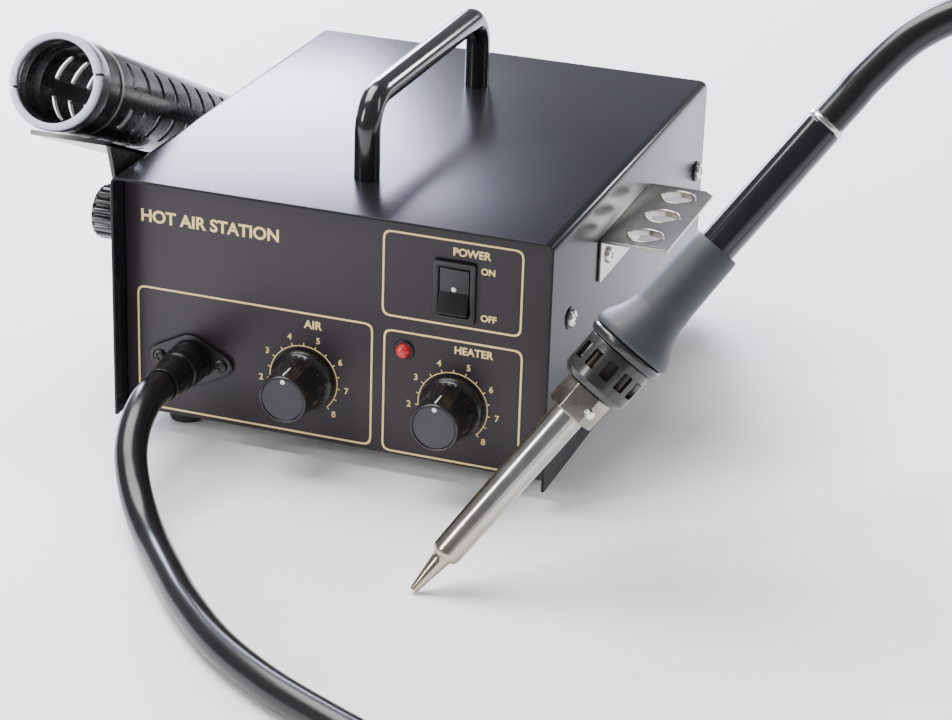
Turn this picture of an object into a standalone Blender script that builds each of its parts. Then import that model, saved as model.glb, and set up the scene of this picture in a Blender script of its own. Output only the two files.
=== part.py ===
"""A hot air rework station: a sheet metal case with a carry handle, a pump and a transformer
inside, an adjustable holder on its left, a nozzle rack on its right, and a hot air handset
on its own air hose. Metres, +Z up, the control panel faces -Y and the feet stand on Z = 0.

Places are given from the middle of the case's front edge. The empty case_front carries them
all, and puts the middle of the whole object's footprint on the origin.
"""

import math

import bmesh
import bpy
from mathutils import Matrix, Vector

# ---------------------------------------------------------------- driving dimensions

CASE_FRONT = (-0.02870, -0.07247, 0.0)  # the case's front edge in the object's own frame
FIT = 0.0003  # the gap left between pieces that touch

COVER_WIDTH = 0.187
COVER_DEPTH = 0.222
COVER_BOTTOM = 0.009
COVER_TOP = 0.1136
SHEET = 0.0012
SHEET_BEND = 0.003
PANEL_RECESS = 0.010
PANEL_THICK = 0.0015

FOOT_RADIUS = 0.0085
FOOT_INSET_X = 0.020
FOOT_INSET_Y = 0.028

HANDLE_ROD = 0.0053  # radius
HANDLE_X = 0.0005
HANDLE_FRONT = 0.0415
HANDLE_REAR = 0.1740
HANDLE_RISE = 0.0325  # from the cover to the rod's middle
HANDLE_CORNER = 0.0135

KNOB_SKIRT = 0.0134
KNOB_FACE = 0.0098
KNOB_HEIGHT = 0.0215
KNOB_GAP = 0.0006
SHAFT_RADIUS = 0.0030
AIR_AXIS = (-0.0133, 0.0350)  # x and z of the knob's axis on the panel
HEATER_AXIS = (0.0510, 0.0345)

SWITCH_CENTRE = (0.0506, 0.0842)
SWITCH_BEZEL = (0.0178, 0.0256)
SWITCH_BODY = (0.0162, 0.0238)
SWITCH_WELL = (0.0130, 0.0202)
ROCKER_RADIUS = 0.0098
ROCKER_WIDTH = 0.0124
ROCKER_THROW = math.radians(16)

LAMP_CENTRE = (0.0298, 0.0554)
LAMP_RADIUS = 0.0031

GLAND_CENTRE = (-0.0628, 0.0352)
GLAND_SCREW_REACH = 0.0136
HOSE_RADIUS = 0.0065
BOOT_RADIUS = 0.0089
BOOT_LENGTH = 0.0270

RACK_FRONT = 0.0600
RACK_REAR = 0.1340
RACK_TOP = 0.0945
RACK_REACH = 0.0285
RACK_DROP = 0.0180
RACK_HOLES = (0.0731, 0.0975, 0.1219)
RACK_HOLE_X = 0.1091
RACK_HOLE_RADIUS = 0.0070
RACK_SCREWS = (0.0690, 0.1250)

PIVOT = (-0.0935, 0.0205, 0.0900)  # the holder's clamp bolt, where it leaves the case
HOLDER_X = -0.1200
HOLDER_MOUTH = (0.0056, 0.1485)  # y and z of the middle of the mouth
HOLDER_TILT = math.radians(24)
HOLDER_MOUTH_RADIUS = 0.0202
FUNNEL_END = 0.0110  # places along the holder, from its mouth
COLLAR_END = 0.0240
SLEEVE_END = 0.1950

HANDSET_TIP = (0.0700, -0.0820, 0.0016)
HANDSET_REAR = (0.1915, 0.0150, 0.1728)

# Places along the handset's axis, from the tip of the nozzle.
NOZZLE_END = 0.0170
PIPE_END = 0.0880
NUT_END = 0.1000
NOSE_END = 0.1175
NOSE_RING_END = 0.1215
GRIP_END = 0.1706
HANDLE_END = 0.2290

# The middle of the air hose, from the boot on the panel to the bushing of the handset.
HOSE_ROUTE = (
    (-0.0628, -0.0300, 0.0352),
    (-0.0617, -0.0408, 0.0331),
    (-0.0598, -0.0508, 0.0294),
    (-0.0567, -0.0600, 0.0244),
    (-0.0521, -0.0681, 0.0187),
    (-0.0465, -0.0759, 0.0136),
    (-0.0402, -0.0838, 0.0099),
    (-0.0336, -0.0920, 0.0078),
    (-0.0269, -0.1003, 0.0069),
    (-0.0135, -0.1170, 0.0069),
    (0.0005, -0.1335, 0.0069),
    (0.0235, -0.1562, 0.0069),
    (0.0495, -0.1747, 0.0069),
    (0.0777, -0.1894, 0.0069),
    (0.1070, -0.2022, 0.0069),
    (0.1374, -0.2127, 0.0069),
    (0.1688, -0.2190, 0.0069),
    (0.2008, -0.2192, 0.0069),
    (0.2322, -0.2132, 0.0069),
    (0.2620, -0.2010, 0.0069),
    (0.2890, -0.1831, 0.0069),
    (0.3116, -0.1599, 0.0069),
    (0.3288, -0.1326, 0.0069),
    (0.3403, -0.1026, 0.0084),
    (0.3463, -0.0722, 0.0162),
    (0.3474, -0.0446, 0.0321),
    (0.3445, -0.0216, 0.0543),
    (0.3396, -0.0034, 0.0803),
    (0.3339, 0.0108, 0.1085),
    (0.3265, 0.0223, 0.1373),
    (0.3158, 0.0319, 0.1658),
    (0.3007, 0.0400, 0.1929),
    (0.2758, 0.0431, 0.2119),
    (0.2552, 0.0415, 0.2165),
    (0.2347, 0.0374, 0.2138),
    (0.2169, 0.0313, 0.2039),
    (0.2032, 0.0238, 0.1891),
    (0.1974, 0.0197, 0.1810),
)
HOSE_POINT_STEP = 0.018

# ---------------------------------------------------------------- scene and helpers

for old in list(bpy.data.objects):
    bpy.data.objects.remove(old, do_unlink=True)

PARTS = bpy.data.collections.new("hot_air_station")
CUTTERS = bpy.data.collections.new("cutters")
bpy.context.scene.collection.children.link(PARTS)
bpy.context.scene.collection.children.link(CUTTERS)

PANEL_FACE = PANEL_RECESS
PANEL_BACK = PANEL_RECESS + PANEL_THICK
HALF_WIDTH = COVER_WIDTH / 2
INNER_HALF = HALF_WIDTH - SHEET - FIT
TRAY_TOP = COVER_BOTTOM + SHEET


def finish(name, colour, roughness, metallic=0.0):
    """A Principled material."""
    material = bpy.data.materials.new(name)
    material.use_nodes = True
    shader = material.node_tree.nodes["Principled BSDF"]
    shader.inputs["Base Color"].default_value = (*colour, 1.0)
    shader.inputs["Roughness"].default_value = roughness
    shader.inputs["Metallic"].default_value = metallic
    material.diffuse_color = (*colour, 1.0)
    return material


def empty(name, location, parent=None, rotation=None):
    """A helper that carries pieces; its origin is their reference point or joint axis."""
    holder = bpy.data.objects.new(name, None)
    PARTS.objects.link(holder)
    holder.parent = parent
    holder.location = location
    if rotation is not None:
        holder.rotation_mode = "QUATERNION"
        holder.rotation_quaternion = rotation
    return holder


CASE = empty("case_front", CASE_FRONT)


def piece(name, mesh, material, parent=None, location=(0, 0, 0), toward=None):
    """A named sub-part. toward turns its own +Z to that direction."""
    part = bpy.data.objects.new(name, mesh)
    PARTS.objects.link(part)
    part.parent = parent or CASE
    part.location = location
    if toward is not None:
        part.rotation_mode = "QUATERNION"
        part.rotation_quaternion = Vector(toward).to_track_quat("Z", "Y")
    mesh.materials.append(material)
    return part


def block_mesh(name, low, high):
    mesh = bpy.data.meshes.new(name)
    shape = bmesh.new()
    bmesh.ops.create_cube(shape, size=1.0)
    size = Vector(high) - Vector(low)
    middle = (Vector(high) + Vector(low)) / 2
    bmesh.ops.transform(
        shape, matrix=Matrix.Translation(middle) @ Matrix.Diagonal((*size, 1.0)), verts=shape.verts
    )
    shape.to_mesh(mesh)
    shape.free()
    return mesh


def bevel(part, width, segments=2, angle=math.radians(40)):
    modifier = part.modifiers.new("edges", "BEVEL")
    modifier.width = width
    modifier.segments = segments
    modifier.limit_method = "ANGLE"
    modifier.angle_limit = angle


def block(name, low, high, material, parent=None, location=(0, 0, 0), edge=0.0):
    """A box from its low and high corners, with rounded edges where edge is given."""
    part = piece(name, block_mesh(name, low, high), material, parent, location)
    if edge:
        bevel(part, edge)
    return part


def profile_mesh(name, points, closed):
    mesh = bpy.data.meshes.new(name)
    count = len(points)
    edges = [(i, i + 1) for i in range(count - 1)] + ([(count - 1, 0)] if closed else [])
    mesh.from_pydata([(radius, 0.0, height) for radius, height in points], edges, [])
    return mesh


def turned(name, points, material, location, toward, parent=None, steps=24, hollow=False):
    """A turned piece: points are (radius, height) down its outer side, from the top.

    A hollow piece's points go on up its inner side, and close there."""
    part = piece(name, profile_mesh(name, points, hollow), material, parent, location, toward)
    spin = part.modifiers.new("turn", "SCREW")
    spin.steps = steps
    spin.render_steps = steps
    spin.use_merge_vertices = True
    spin.merge_threshold = 0.00001
    spin.use_smooth_shade = False
    weld = part.modifiers.new("axis", "WELD")
    weld.merge_threshold = 0.00001
    return part


def tube_curve(name, points, radius, sides=3):
    """A round rod or tube along points, with its ends filled."""
    curve = bpy.data.curves.new(name, "CURVE")
    curve.dimensions = "3D"
    curve.bevel_depth = radius
    curve.bevel_resolution = sides
    curve.use_fill_caps = True
    spline = curve.splines.new("POLY")
    spline.points.add(len(points) - 1)
    for point, place in zip(spline.points, points, strict=True):
        point.co = (*place, 1.0)
    return curve


def flat_outline(name, points, thickness):
    """A flat plate in the local XY plane, from its outline, centred on its thickness."""
    curve = bpy.data.curves.new(name, "CURVE")
    curve.dimensions = "2D"
    curve.fill_mode = "BOTH"
    curve.extrude = thickness / 2
    spline = curve.splines.new("POLY")
    spline.points.add(len(points) - 1)
    for point, place in zip(spline.points, points, strict=True):
        point.co = (*place, 0.0, 1.0)
    spline.use_cyclic_u = True
    return curve


def curve_to_mesh(curve, name):
    """The curve's own solid as a closed mesh, for pieces that are cut or joined."""
    carrier = bpy.data.objects.new(name, curve)
    PARTS.objects.link(carrier)
    bpy.context.view_layer.update()
    graph = bpy.context.evaluated_depsgraph_get()
    mesh = bpy.data.meshes.new_from_object(carrier.evaluated_get(graph))
    bpy.data.objects.remove(carrier, do_unlink=True)
    shape = bmesh.new()
    shape.from_mesh(mesh)
    bmesh.ops.remove_doubles(shape, verts=shape.verts, dist=0.00001)
    bmesh.ops.recalc_face_normals(shape, faces=shape.faces)
    shape.to_mesh(mesh)
    shape.free()
    mesh.materials.clear()
    mesh.name = name
    return mesh


def arc(centre, radius, start, stop, count):
    """Points round a stretch of a circle, angles in degrees."""
    turns = [math.radians(start + (stop - start) * i / (count - 1)) for i in range(count)]
    return [
        (centre[0] + radius * math.cos(turn), centre[1] + radius * math.sin(turn)) for turn in turns
    ]


def helper(part, parent):
    """Puts a cutter or a joined shape among the helpers, unseen in a render."""
    for collection in list(part.users_collection):
        collection.objects.unlink(part)
    CUTTERS.objects.link(part)
    part.parent = parent
    part.hide_render = True
    part.display_type = "WIRE"
    return part


def block_tool(name, low, high, parent=None):
    tool = bpy.data.objects.new(name, block_mesh(name, low, high))
    CUTTERS.objects.link(tool)
    return helper(tool, parent or CASE)


def rod_tool(name, radius, start, end, parent=None, sides=24):
    """A round cutter between two points."""
    mesh = bpy.data.meshes.new(name)
    shape = bmesh.new()
    run = Vector(end) - Vector(start)
    bmesh.ops.create_cone(
        shape, cap_ends=True, segments=sides, radius1=radius, radius2=radius, depth=run.length
    )
    turn = run.to_track_quat("Z", "Y").to_matrix().to_4x4()
    middle = (Vector(start) + Vector(end)) / 2
    bmesh.ops.transform(shape, matrix=Matrix.Translation(middle) @ turn, verts=shape.verts)
    shape.to_mesh(mesh)
    shape.free()
    tool = bpy.data.objects.new(name, mesh)
    CUTTERS.objects.link(tool)
    return helper(tool, parent or CASE)


def combine(part, tool, operation="DIFFERENCE"):
    change = part.modifiers.new(tool.name, "BOOLEAN")
    change.operation = operation
    change.solver = "EXACT"
    change.object = tool


def folded_sheet(name, corners, front, rear, material, bend, thickness=SHEET):
    """Sheet metal folded along Y: corners are (x, z) on its outer face, walked clockwise
    as seen from the front, so that the thickness goes inwards."""
    mesh = bpy.data.meshes.new(name)
    shape = bmesh.new()
    rows = [[shape.verts.new((x, y, z)) for x, z in corners] for y in (front, rear)]
    for i in range(len(corners) - 1):
        shape.faces.new((rows[0][i], rows[0][i + 1], rows[1][i + 1], rows[1][i]))
    shape.to_mesh(mesh)
    shape.free()
    part = piece(name, mesh, material)
    bevel(part, bend, segments=4)
    wall = part.modifiers.new("sheet", "SOLIDIFY")
    wall.thickness = thickness
    wall.offset = -1.0
    wall.use_even_offset = True
    return part


# ---------------------------------------------------------------- finishes

BLACK_PAINT = finish("black_gloss_paint", (0.012, 0.012, 0.014), 0.25)
PANEL_PAINT = finish("panel_satin_black", (0.045, 0.038, 0.045), 0.45)
ZINC = finish("zinc_plated_steel", (0.55, 0.54, 0.50), 0.38, 1.0)
STAINLESS = finish("brushed_stainless", (0.62, 0.61, 0.58), 0.32, 1.0)
NICKEL = finish("nickel_screw", (0.70, 0.68, 0.65), 0.22, 1.0)
KNOB_PLASTIC = finish("knob_plastic", (0.030, 0.028, 0.032), 0.40)
SWITCH_PLASTIC = finish("switch_plastic", (0.015, 0.015, 0.016), 0.30)
RED_LENS = finish("red_lens", (0.60, 0.03, 0.05), 0.15)
HOSE_RUBBER = finish("hose_rubber", (0.012, 0.012, 0.013), 0.22)
FOOT_RUBBER = finish("foot_rubber", (0.03, 0.03, 0.03), 0.85)
GRIP_RUBBER = finish("grip_rubber", (0.12, 0.13, 0.15), 0.60)
GLOSS_PLASTIC = finish("gloss_black_plastic", (0.015, 0.015, 0.018), 0.18)
HOLDER_METAL = finish("holder_black_metal", (0.020, 0.018, 0.018), 0.30)
HOLDER_LIP = finish("holder_lip_grey", (0.55, 0.54, 0.62), 0.40)
PUMP_METAL = finish("pump_casting", (0.40, 0.41, 0.42), 0.50, 1.0)
BOARD_GREEN = finish("board_laminate", (0.03, 0.20, 0.08), 0.45)
COIL_TAPE = finish("coil_tape", (0.75, 0.55, 0.12), 0.55)
CERAMIC = finish("heater_ceramic", (0.80, 0.78, 0.72), 0.60)
CLEAR_TUBE = finish("silicone_tube", (0.75, 0.73, 0.66), 0.35)

# ---------------------------------------------------------------- fasteners

FORWARD = (0, -1, 0)
UP = (0, 0, 1)
DOWN = (0, 0, -1)
RIGHT = (1, 0, 0)
LEFT = (-1, 0, 0)


def pan_screw(name, seat, toward, head, shank, length, material=NICKEL, parent=None):
    """A pan head screw: seat is where the head's underside sits, toward points out of the
    head, head and shank are radii."""
    tall = head * 0.62
    dome = [(head * math.cos(a), tall * (0.45 + 0.55 * math.sin(a))) for a in (1.2, 0.8, 0.4, 0.0)]
    points = [(0.0, tall), *dome, (head, 0.0), (shank, 0.0), (shank, -length), (0.0, -length)]
    return turned(name, points, material, seat, toward, parent, steps=16)


# ---------------------------------------------------------------- case

cover = folded_sheet(
    "cover",
    (
        (-HALF_WIDTH, COVER_BOTTOM),
        (-HALF_WIDTH, COVER_TOP),
        (HALF_WIDTH, COVER_TOP),
        (HALF_WIDTH, COVER_BOTTOM),
    ),
    0.0,
    COVER_DEPTH,
    BLACK_PAINT,
    SHEET_BEND,
)

folded_sheet(
    "chassis_tray",
    (
        (INNER_HALF, COVER_BOTTOM + 0.024),
        (INNER_HALF, COVER_BOTTOM),
        (-INNER_HALF, COVER_BOTTOM),
        (-INNER_HALF, COVER_BOTTOM + 0.024),
    ),
    PANEL_BACK + FIT,
    COVER_DEPTH - 0.0035,
    ZINC,
    0.0015,
)

REAR_PANEL_BACK = COVER_DEPTH - 0.0010
PANEL_CORNER = 0.0024


def end_panel(name, front, back, material):
    """A flat panel across the case, its top corners cut to pass the cover's bends."""
    top = COVER_TOP - SHEET - FIT
    outline = (
        (-INNER_HALF, COVER_BOTTOM),
        (INNER_HALF, COVER_BOTTOM),
        (INNER_HALF, top - PANEL_CORNER),
        (INNER_HALF - PANEL_CORNER, top),
        (-INNER_HALF + PANEL_CORNER, top),
        (-INNER_HALF, top - PANEL_CORNER),
    )
    mesh = curve_to_mesh(flat_outline(name, outline, back - front), name)
    # The outline's X and Y become the case's X and Z, and its thickness lies along Y.
    upright = Matrix(((1, 0, 0, 0), (0, 0, -1, 0), (0, 1, 0, 0), (0, 0, 0, 1)))
    mesh.transform(Matrix.Translation((0, (front + back) / 2, 0)) @ upright)
    return piece(name, mesh, material)


front_panel = end_panel("front_panel", PANEL_FACE, PANEL_BACK, PANEL_PAINT)
rear_panel = end_panel("rear_panel", REAR_PANEL_BACK - SHEET, REAR_PANEL_BACK, ZINC)

VENT_COUNT = 9
VENT_PITCH = 0.0075
for row in range(VENT_COUNT):
    z = 0.040 + row * VENT_PITCH
    vent = block_tool(
        f"rear_vent_{row + 1}",
        (-0.070, REAR_PANEL_BACK - 0.004, z),
        (-0.020, REAR_PANEL_BACK + 0.004, z + 0.0032),
    )
    combine(rear_panel, vent)

FOOT_HEIGHT = COVER_BOTTOM - FIT
for side, sign in (("left", -1), ("right", 1)):
    for end, y in (("front", FOOT_INSET_Y), ("rear", COVER_DEPTH - FOOT_INSET_Y)):
        turned(
            f"foot_{end}_{side}",
            (
                (0.0, FOOT_HEIGHT),
                (FOOT_RADIUS, FOOT_HEIGHT),
                (FOOT_RADIUS * 0.86, 0.0008),
                (FOOT_RADIUS * 0.80, 0.0),
                (0.0, 0.0),
            ),
            FOOT_RUBBER,
            (sign * (HALF_WIDTH - FOOT_INSET_X), y, 0.0),
            UP,
        )

COVER_SCREW_Z = 0.0746
for side, sign, out in (("left", -1, LEFT), ("right", 1, RIGHT)):
    for end, y in (("front", 0.0240), ("rear", COVER_DEPTH - 0.0110)):
        name = f"cover_screw_{end}_{side}"
        wall = sign * HALF_WIDTH
        hole = rod_tool(
            f"{name}_hole",
            0.0020,
            (wall - 0.004, y, COVER_SCREW_Z),
            (wall + 0.004, y, COVER_SCREW_Z),
            sides=12,
        )
        combine(cover, hole)
        seat = (wall + sign * FIT, y, COVER_SCREW_Z)
        pan_screw(name, seat, out, 0.0038, 0.0016, 0.0060)

# ---------------------------------------------------------------- carry handle

POST_FOOT = COVER_TOP + FIT
ROD_TOP = COVER_TOP + HANDLE_RISE


def handle_rod():
    """The bent rod, in the plane of its two posts: front post, corner, grip, corner, rear post."""
    low = ROD_TOP - HANDLE_CORNER
    front = arc((HANDLE_FRONT + HANDLE_CORNER, low), HANDLE_CORNER, 180, 90, 7)
    rear = arc((HANDLE_REAR - HANDLE_CORNER, low), HANDLE_CORNER, 90, 0, 7)
    line = [(HANDLE_FRONT, POST_FOOT), *front, *rear, (HANDLE_REAR, POST_FOOT)]
    return [(0.0, y, z) for y, z in line]


handle = piece(
    "carry_handle",
    curve_to_mesh(tube_curve("carry_handle", handle_rod(), HANDLE_ROD, 4), "carry_handle"),
    GLOSS_PLASTIC,
    location=(HANDLE_X, 0, 0),
)
for end, y in (("front", HANDLE_FRONT), ("rear", HANDLE_REAR)):
    name = f"handle_screw_{end}"
    foot = (HANDLE_X, y, COVER_TOP)
    through = rod_tool(
        f"{name}_hole",
        0.0021,
        (HANDLE_X, y, COVER_TOP - 0.004),
        (HANDLE_X, y, COVER_TOP + 0.012),
        sides=12,
    )
    combine(cover, through)
    combine(handle, through)
    pan_screw(name, (HANDLE_X, y, COVER_TOP - SHEET - FIT), DOWN, 0.0033, 0.0017, 0.0100)

# ---------------------------------------------------------------- power switch

switch_x, switch_z = SWITCH_CENTRE


def around(size, front, rear):
    """Corners of a box centred on the switch, front and rear being its places along Y."""
    low = (switch_x - size[0] / 2, front, switch_z - size[1] / 2)
    high = (switch_x + size[0] / 2, rear, switch_z + size[1] / 2)
    return low, high


BEZEL_PROUD = 0.0020
switch_housing = block(
    "power_switch_housing", *around(SWITCH_BEZEL, PANEL_FACE - BEZEL_PROUD, PANEL_FACE - FIT), SWITCH_PLASTIC
)
combine(
    switch_housing,
    block_tool("switch_body", *around(SWITCH_BODY, PANEL_FACE - 0.0010, PANEL_FACE + 0.0200)),
    "UNION",
)
combine(
    switch_housing, block_tool("switch_well", *around(SWITCH_WELL, PANEL_FACE - 0.0050, PANEL_FACE + 0.0115))
)
body_gap = (SWITCH_BODY[0] + 2 * FIT, SWITCH_BODY[1] + 2 * FIT)
combine(front_panel, block_tool("switch_cutout", *around(body_gap, PANEL_FACE - 0.003, PANEL_BACK + 0.003)))


def rocker_outline():
    """The rocker from the side, round its hinge: a shallow V in front and a round back.

    It's drawn with its upper half pressed in, as it stands when the station is on."""
    edge_turn = math.degrees(math.acos(0.0030 / ROCKER_RADIUS))
    back = arc((0, 0), ROCKER_RADIUS, 180 - edge_turn, -180 + edge_turn, 15)
    points = [(-0.0016, 0.0), *back]
    tilt = -ROCKER_THROW / 2
    return [
        (y * math.cos(tilt) - z * math.sin(tilt), y * math.sin(tilt) + z * math.cos(tilt))
        for y, z in points
    ]


rocker_mesh = curve_to_mesh(flat_outline("power_rocker", rocker_outline(), ROCKER_WIDTH), "power_rocker")
# The outline's X and Y become the case's Y and Z, and its thickness lies along X.
rocker_mesh.transform(Matrix(((0, 0, 1, 0), (1, 0, 0, 0), (0, 1, 0, 0), (0, 0, 0, 1))))
rocker = piece("power_rocker", rocker_mesh, SWITCH_PLASTIC, location=(switch_x, PANEL_FACE, switch_z))

# ---------------------------------------------------------------- knobs, valve and potentiometer

KNOB_BACK = PANEL_FACE - KNOB_GAP
BORE = SHAFT_RADIUS + FIT
for name, (x, z) in (("air", AIR_AXIS), ("heater", HEATER_AXIS)):
    deep = 0.0150
    front = KNOB_HEIGHT
    knob = turned(
        f"{name}_knob",
        (
            (0.0, front),
            (KNOB_FACE - 0.0006, front),
            (KNOB_FACE, front - 0.0006),
            (KNOB_FACE + 0.0012, 0.0048),
            (KNOB_SKIRT - 0.0004, 0.0034),
            (KNOB_SKIRT, 0.0026),
            (KNOB_SKIRT, 0.0),
            (BORE, 0.0),
            (BORE, deep),
            (0.0, deep),
        ),
        KNOB_PLASTIC,
        (x, KNOB_BACK, z),
        FORWARD,
        steps=32,
    )
    bushing = 0.0036
    hole = rod_tool(
        f"{name}_bushing_hole", bushing + FIT, (x, PANEL_FACE - 0.004, z), (x, PANEL_BACK + 0.004, z)
    )
    combine(front_panel, hole)
    case_radius = 0.0085 if name == "heater" else 0.0100
    case_depth = 0.0110 if name == "heater" else 0.0240
    turned(
        "heater_potentiometer" if name == "heater" else "air_valve_body",
        (
            (bushing, 0.0006 + PANEL_THICK),
            (bushing, -FIT),
            (case_radius, -FIT),
            (case_radius, -case_depth),
            (BORE, -case_depth),
            (BORE, 0.0006 + PANEL_THICK),
        ),
        NICKEL if name == "heater" else PUMP_METAL,
        (x, PANEL_BACK, z),
        FORWARD,
        steps=24,
        hollow=True,
    )
    reach = KNOB_GAP + PANEL_THICK + case_depth
    turned(
        "heater_shaft" if name == "heater" else "air_valve_stem",
        (
            (0.0, deep - 0.0010),
            (SHAFT_RADIUS, deep - 0.0010),
            (SHAFT_RADIUS, -reach + 0.0020),
            (0.0, -reach + 0.0020),
        ),
        STAINLESS,
        (x, KNOB_BACK, z),
        FORWARD,
        steps=16,
    )

# ---------------------------------------------------------------- heater lamp

lamp = (LAMP_CENTRE[0], PANEL_FACE, LAMP_CENTRE[1])
BEZEL_LIP = 0.0010
dome = [(LAMP_RADIUS * math.cos(a), 0.0012 + LAMP_RADIUS * 0.75 * math.sin(a)) for a in (1.1, 0.75, 0.4, 0.0)]
turned(
    "heater_lamp_lens",
    ((0.0, 0.0012 + LAMP_RADIUS * 0.75), *dome, (LAMP_RADIUS, -0.0060), (0.0, -0.0060)),
    RED_LENS,
    lamp,
    FORWARD,
    steps=20,
)
turned(
    "heater_lamp_bezel",
    (
        (LAMP_RADIUS + FIT, BEZEL_LIP),
        (LAMP_RADIUS + 0.0008, BEZEL_LIP),
        (LAMP_RADIUS + 0.0014, FIT),
        (LAMP_RADIUS + 0.0009, FIT),
        (LAMP_RADIUS + 0.0009, -0.0040),
        (LAMP_RADIUS + FIT, -0.0040),
    ),
    SWITCH_PLASTIC,
    lamp,
    FORWARD,
    steps=20,
    hollow=True,
)
lamp_hole = rod_tool(
    "lamp_hole",
    LAMP_RADIUS + 0.0012,
    (lamp[0], PANEL_FACE - 0.003, lamp[2]),
    (lamp[0], PANEL_BACK + 0.003, lamp[2]),
    sides=20,
)
combine(front_panel, lamp_hole)

# ---------------------------------------------------------------- hose gland on the panel

gland_x, gland_z = GLAND_CENTRE
FLANGE_THICK = 0.0016


def flange_outline():
    """An oval plate: a round middle and a rounded ear over each screw, joined by tangents."""
    ear = 0.0050
    middle = 0.0112
    lean = math.degrees(math.acos((middle - ear) / GLAND_SCREW_REACH))
    right = arc((GLAND_SCREW_REACH, 0), ear, -lean, lean, 7)
    top = arc((0, 0), middle, lean, 180 - lean, 9)
    left = arc((-GLAND_SCREW_REACH, 0), ear, 180 - lean, 180 + lean, 7)
    bottom = arc((0, 0), middle, 180 + lean, 360 - lean, 9)
    return [*right, *top, *left, *bottom]


flange_mesh = curve_to_mesh(flat_outline("hose_flange", flange_outline(), FLANGE_THICK), "hose_flange")
flange_front = PANEL_FACE - FIT - FLANGE_THICK
flange = piece(
    "hose_flange",
    flange_mesh,
    SWITCH_PLASTIC,
    location=(gland_x, PANEL_FACE - FIT - FLANGE_THICK / 2, gland_z),
    toward=FORWARD,
)
NECK_RADIUS = 0.0075
NECK_BORE = 0.0045
hose_hole = rod_tool(
    "hose_hole",
    NECK_RADIUS + FIT,
    (gland_x, PANEL_FACE - 0.006, gland_z),
    (gland_x, PANEL_BACK + 0.004, gland_z),
)
combine(flange, hose_hole)
combine(front_panel, hose_hole)
boot_seat = flange_front - FIT
turned(
    "hose_boot",
    (
        (NECK_BORE, BOOT_LENGTH),
        (HOSE_RADIUS + 0.0008, BOOT_LENGTH),
        (BOOT_RADIUS - 0.0004, 0.0130),
        (BOOT_RADIUS, 0.0110),
        (BOOT_RADIUS, 0.0),
        (NECK_RADIUS, 0.0),
        (NECK_RADIUS, -0.0080),
        (NECK_BORE, -0.0080),
    ),
    HOSE_RUBBER,
    (gland_x, boot_seat, gland_z),
    FORWARD,
    steps=24,
    hollow=True,
)
for side, sign in (("left", -1), ("right", 1)):
    name = f"flange_screw_{side}"
    x = gland_x + sign * GLAND_SCREW_REACH
    hole = rod_tool(
        f"{name}_hole", 0.0016, (x, PANEL_FACE - 0.006, gland_z), (x, PANEL_BACK + 0.004, gland_z), sides=12
    )
    combine(flange, hole)
    combine(front_panel, hole)
    pan_screw(name, (x, flange_front - FIT, gland_z), FORWARD, 0.0029, 0.0013, 0.0060)

# ---------------------------------------------------------------- nozzle rack

wall_right = HALF_WIDTH + FIT
rack = folded_sheet(
    "nozzle_rack",
    (
        (wall_right, RACK_TOP - RACK_DROP),
        (wall_right, RACK_TOP),
        (HALF_WIDTH + RACK_REACH, RACK_TOP),
    ),
    RACK_FRONT,
    RACK_REAR,
    STAINLESS,
    0.0012,
    0.0011,
)
for number, y in enumerate(RACK_HOLES, 1):
    hole = rod_tool(
        f"rack_hole_{number}",
        RACK_HOLE_RADIUS,
        (RACK_HOLE_X, y, RACK_TOP - 0.005),
        (RACK_HOLE_X, y, RACK_TOP + 0.005),
    )
    combine(rack, hole)
for end, y in zip(("front", "rear"), RACK_SCREWS, strict=True):
    name = f"rack_screw_{end}"
    z = RACK_TOP - 0.0090
    hole = rod_tool(f"{name}_hole", 0.0019, (HALF_WIDTH - 0.004, y, z), (HALF_WIDTH + 0.006, y, z), sides=12)
    combine(rack, hole)
    combine(cover, hole)
    pan_screw(name, (wall_right + 0.0011 + FIT, y, z), RIGHT, 0.0034, 0.0015, 0.0070)

# ---------------------------------------------------------------- handset holder

pivot = empty("holder_pivot", PIVOT, CASE)
axis_down = Vector((0.0, math.cos(HOLDER_TILT), -math.sin(HOLDER_TILT)))
mouth_from_pivot = (HOLDER_X - PIVOT[0], HOLDER_MOUTH[0] - PIVOT[1], HOLDER_MOUTH[1] - PIVOT[2])
# Its own +Z points out of the mouth, and +Y of the plates that follow it lies along X.
mouth = empty("holder_mouth", mouth_from_pivot, pivot, (-axis_down).to_track_quat("Z", "Y"))

COLLAR_RADIUS = 0.0190
SLEEVE_TAIL = 0.0166
SLEEVE_WALL = 0.0012
turned(
    "holder_funnel",
    (
        (HOLDER_MOUTH_RADIUS - 0.0010, 0.0),
        (HOLDER_MOUTH_RADIUS, -0.0012),
        (COLLAR_RADIUS + 0.0004, -FUNNEL_END),
        (COLLAR_RADIUS - SLEEVE_WALL, -FUNNEL_END),
        (COLLAR_RADIUS - SLEEVE_WALL, -0.0050),
        (HOLDER_MOUTH_RADIUS - 0.0036, -0.0030),
        (HOLDER_MOUTH_RADIUS - 0.0036, 0.0),
    ),
    HOLDER_LIP,
    (0, 0, 0),
    UP,
    parent=mouth,
    steps=32,
    hollow=True,
)
turned(
    "holder_collar",
    (
        (COLLAR_RADIUS, -FUNNEL_END - FIT),
        (COLLAR_RADIUS, -COLLAR_END + 0.0012),
        (COLLAR_RADIUS + 0.0008, -COLLAR_END + 0.0010),
        (COLLAR_RADIUS + 0.0008, -COLLAR_END),
        (COLLAR_RADIUS - SLEEVE_WALL, -COLLAR_END),
        (COLLAR_RADIUS - SLEEVE_WALL, -FUNNEL_END - FIT),
    ),
    HOLDER_METAL,
    (0, 0, 0),
    UP,
    parent=mouth,
    steps=32,
    hollow=True,
)
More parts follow.
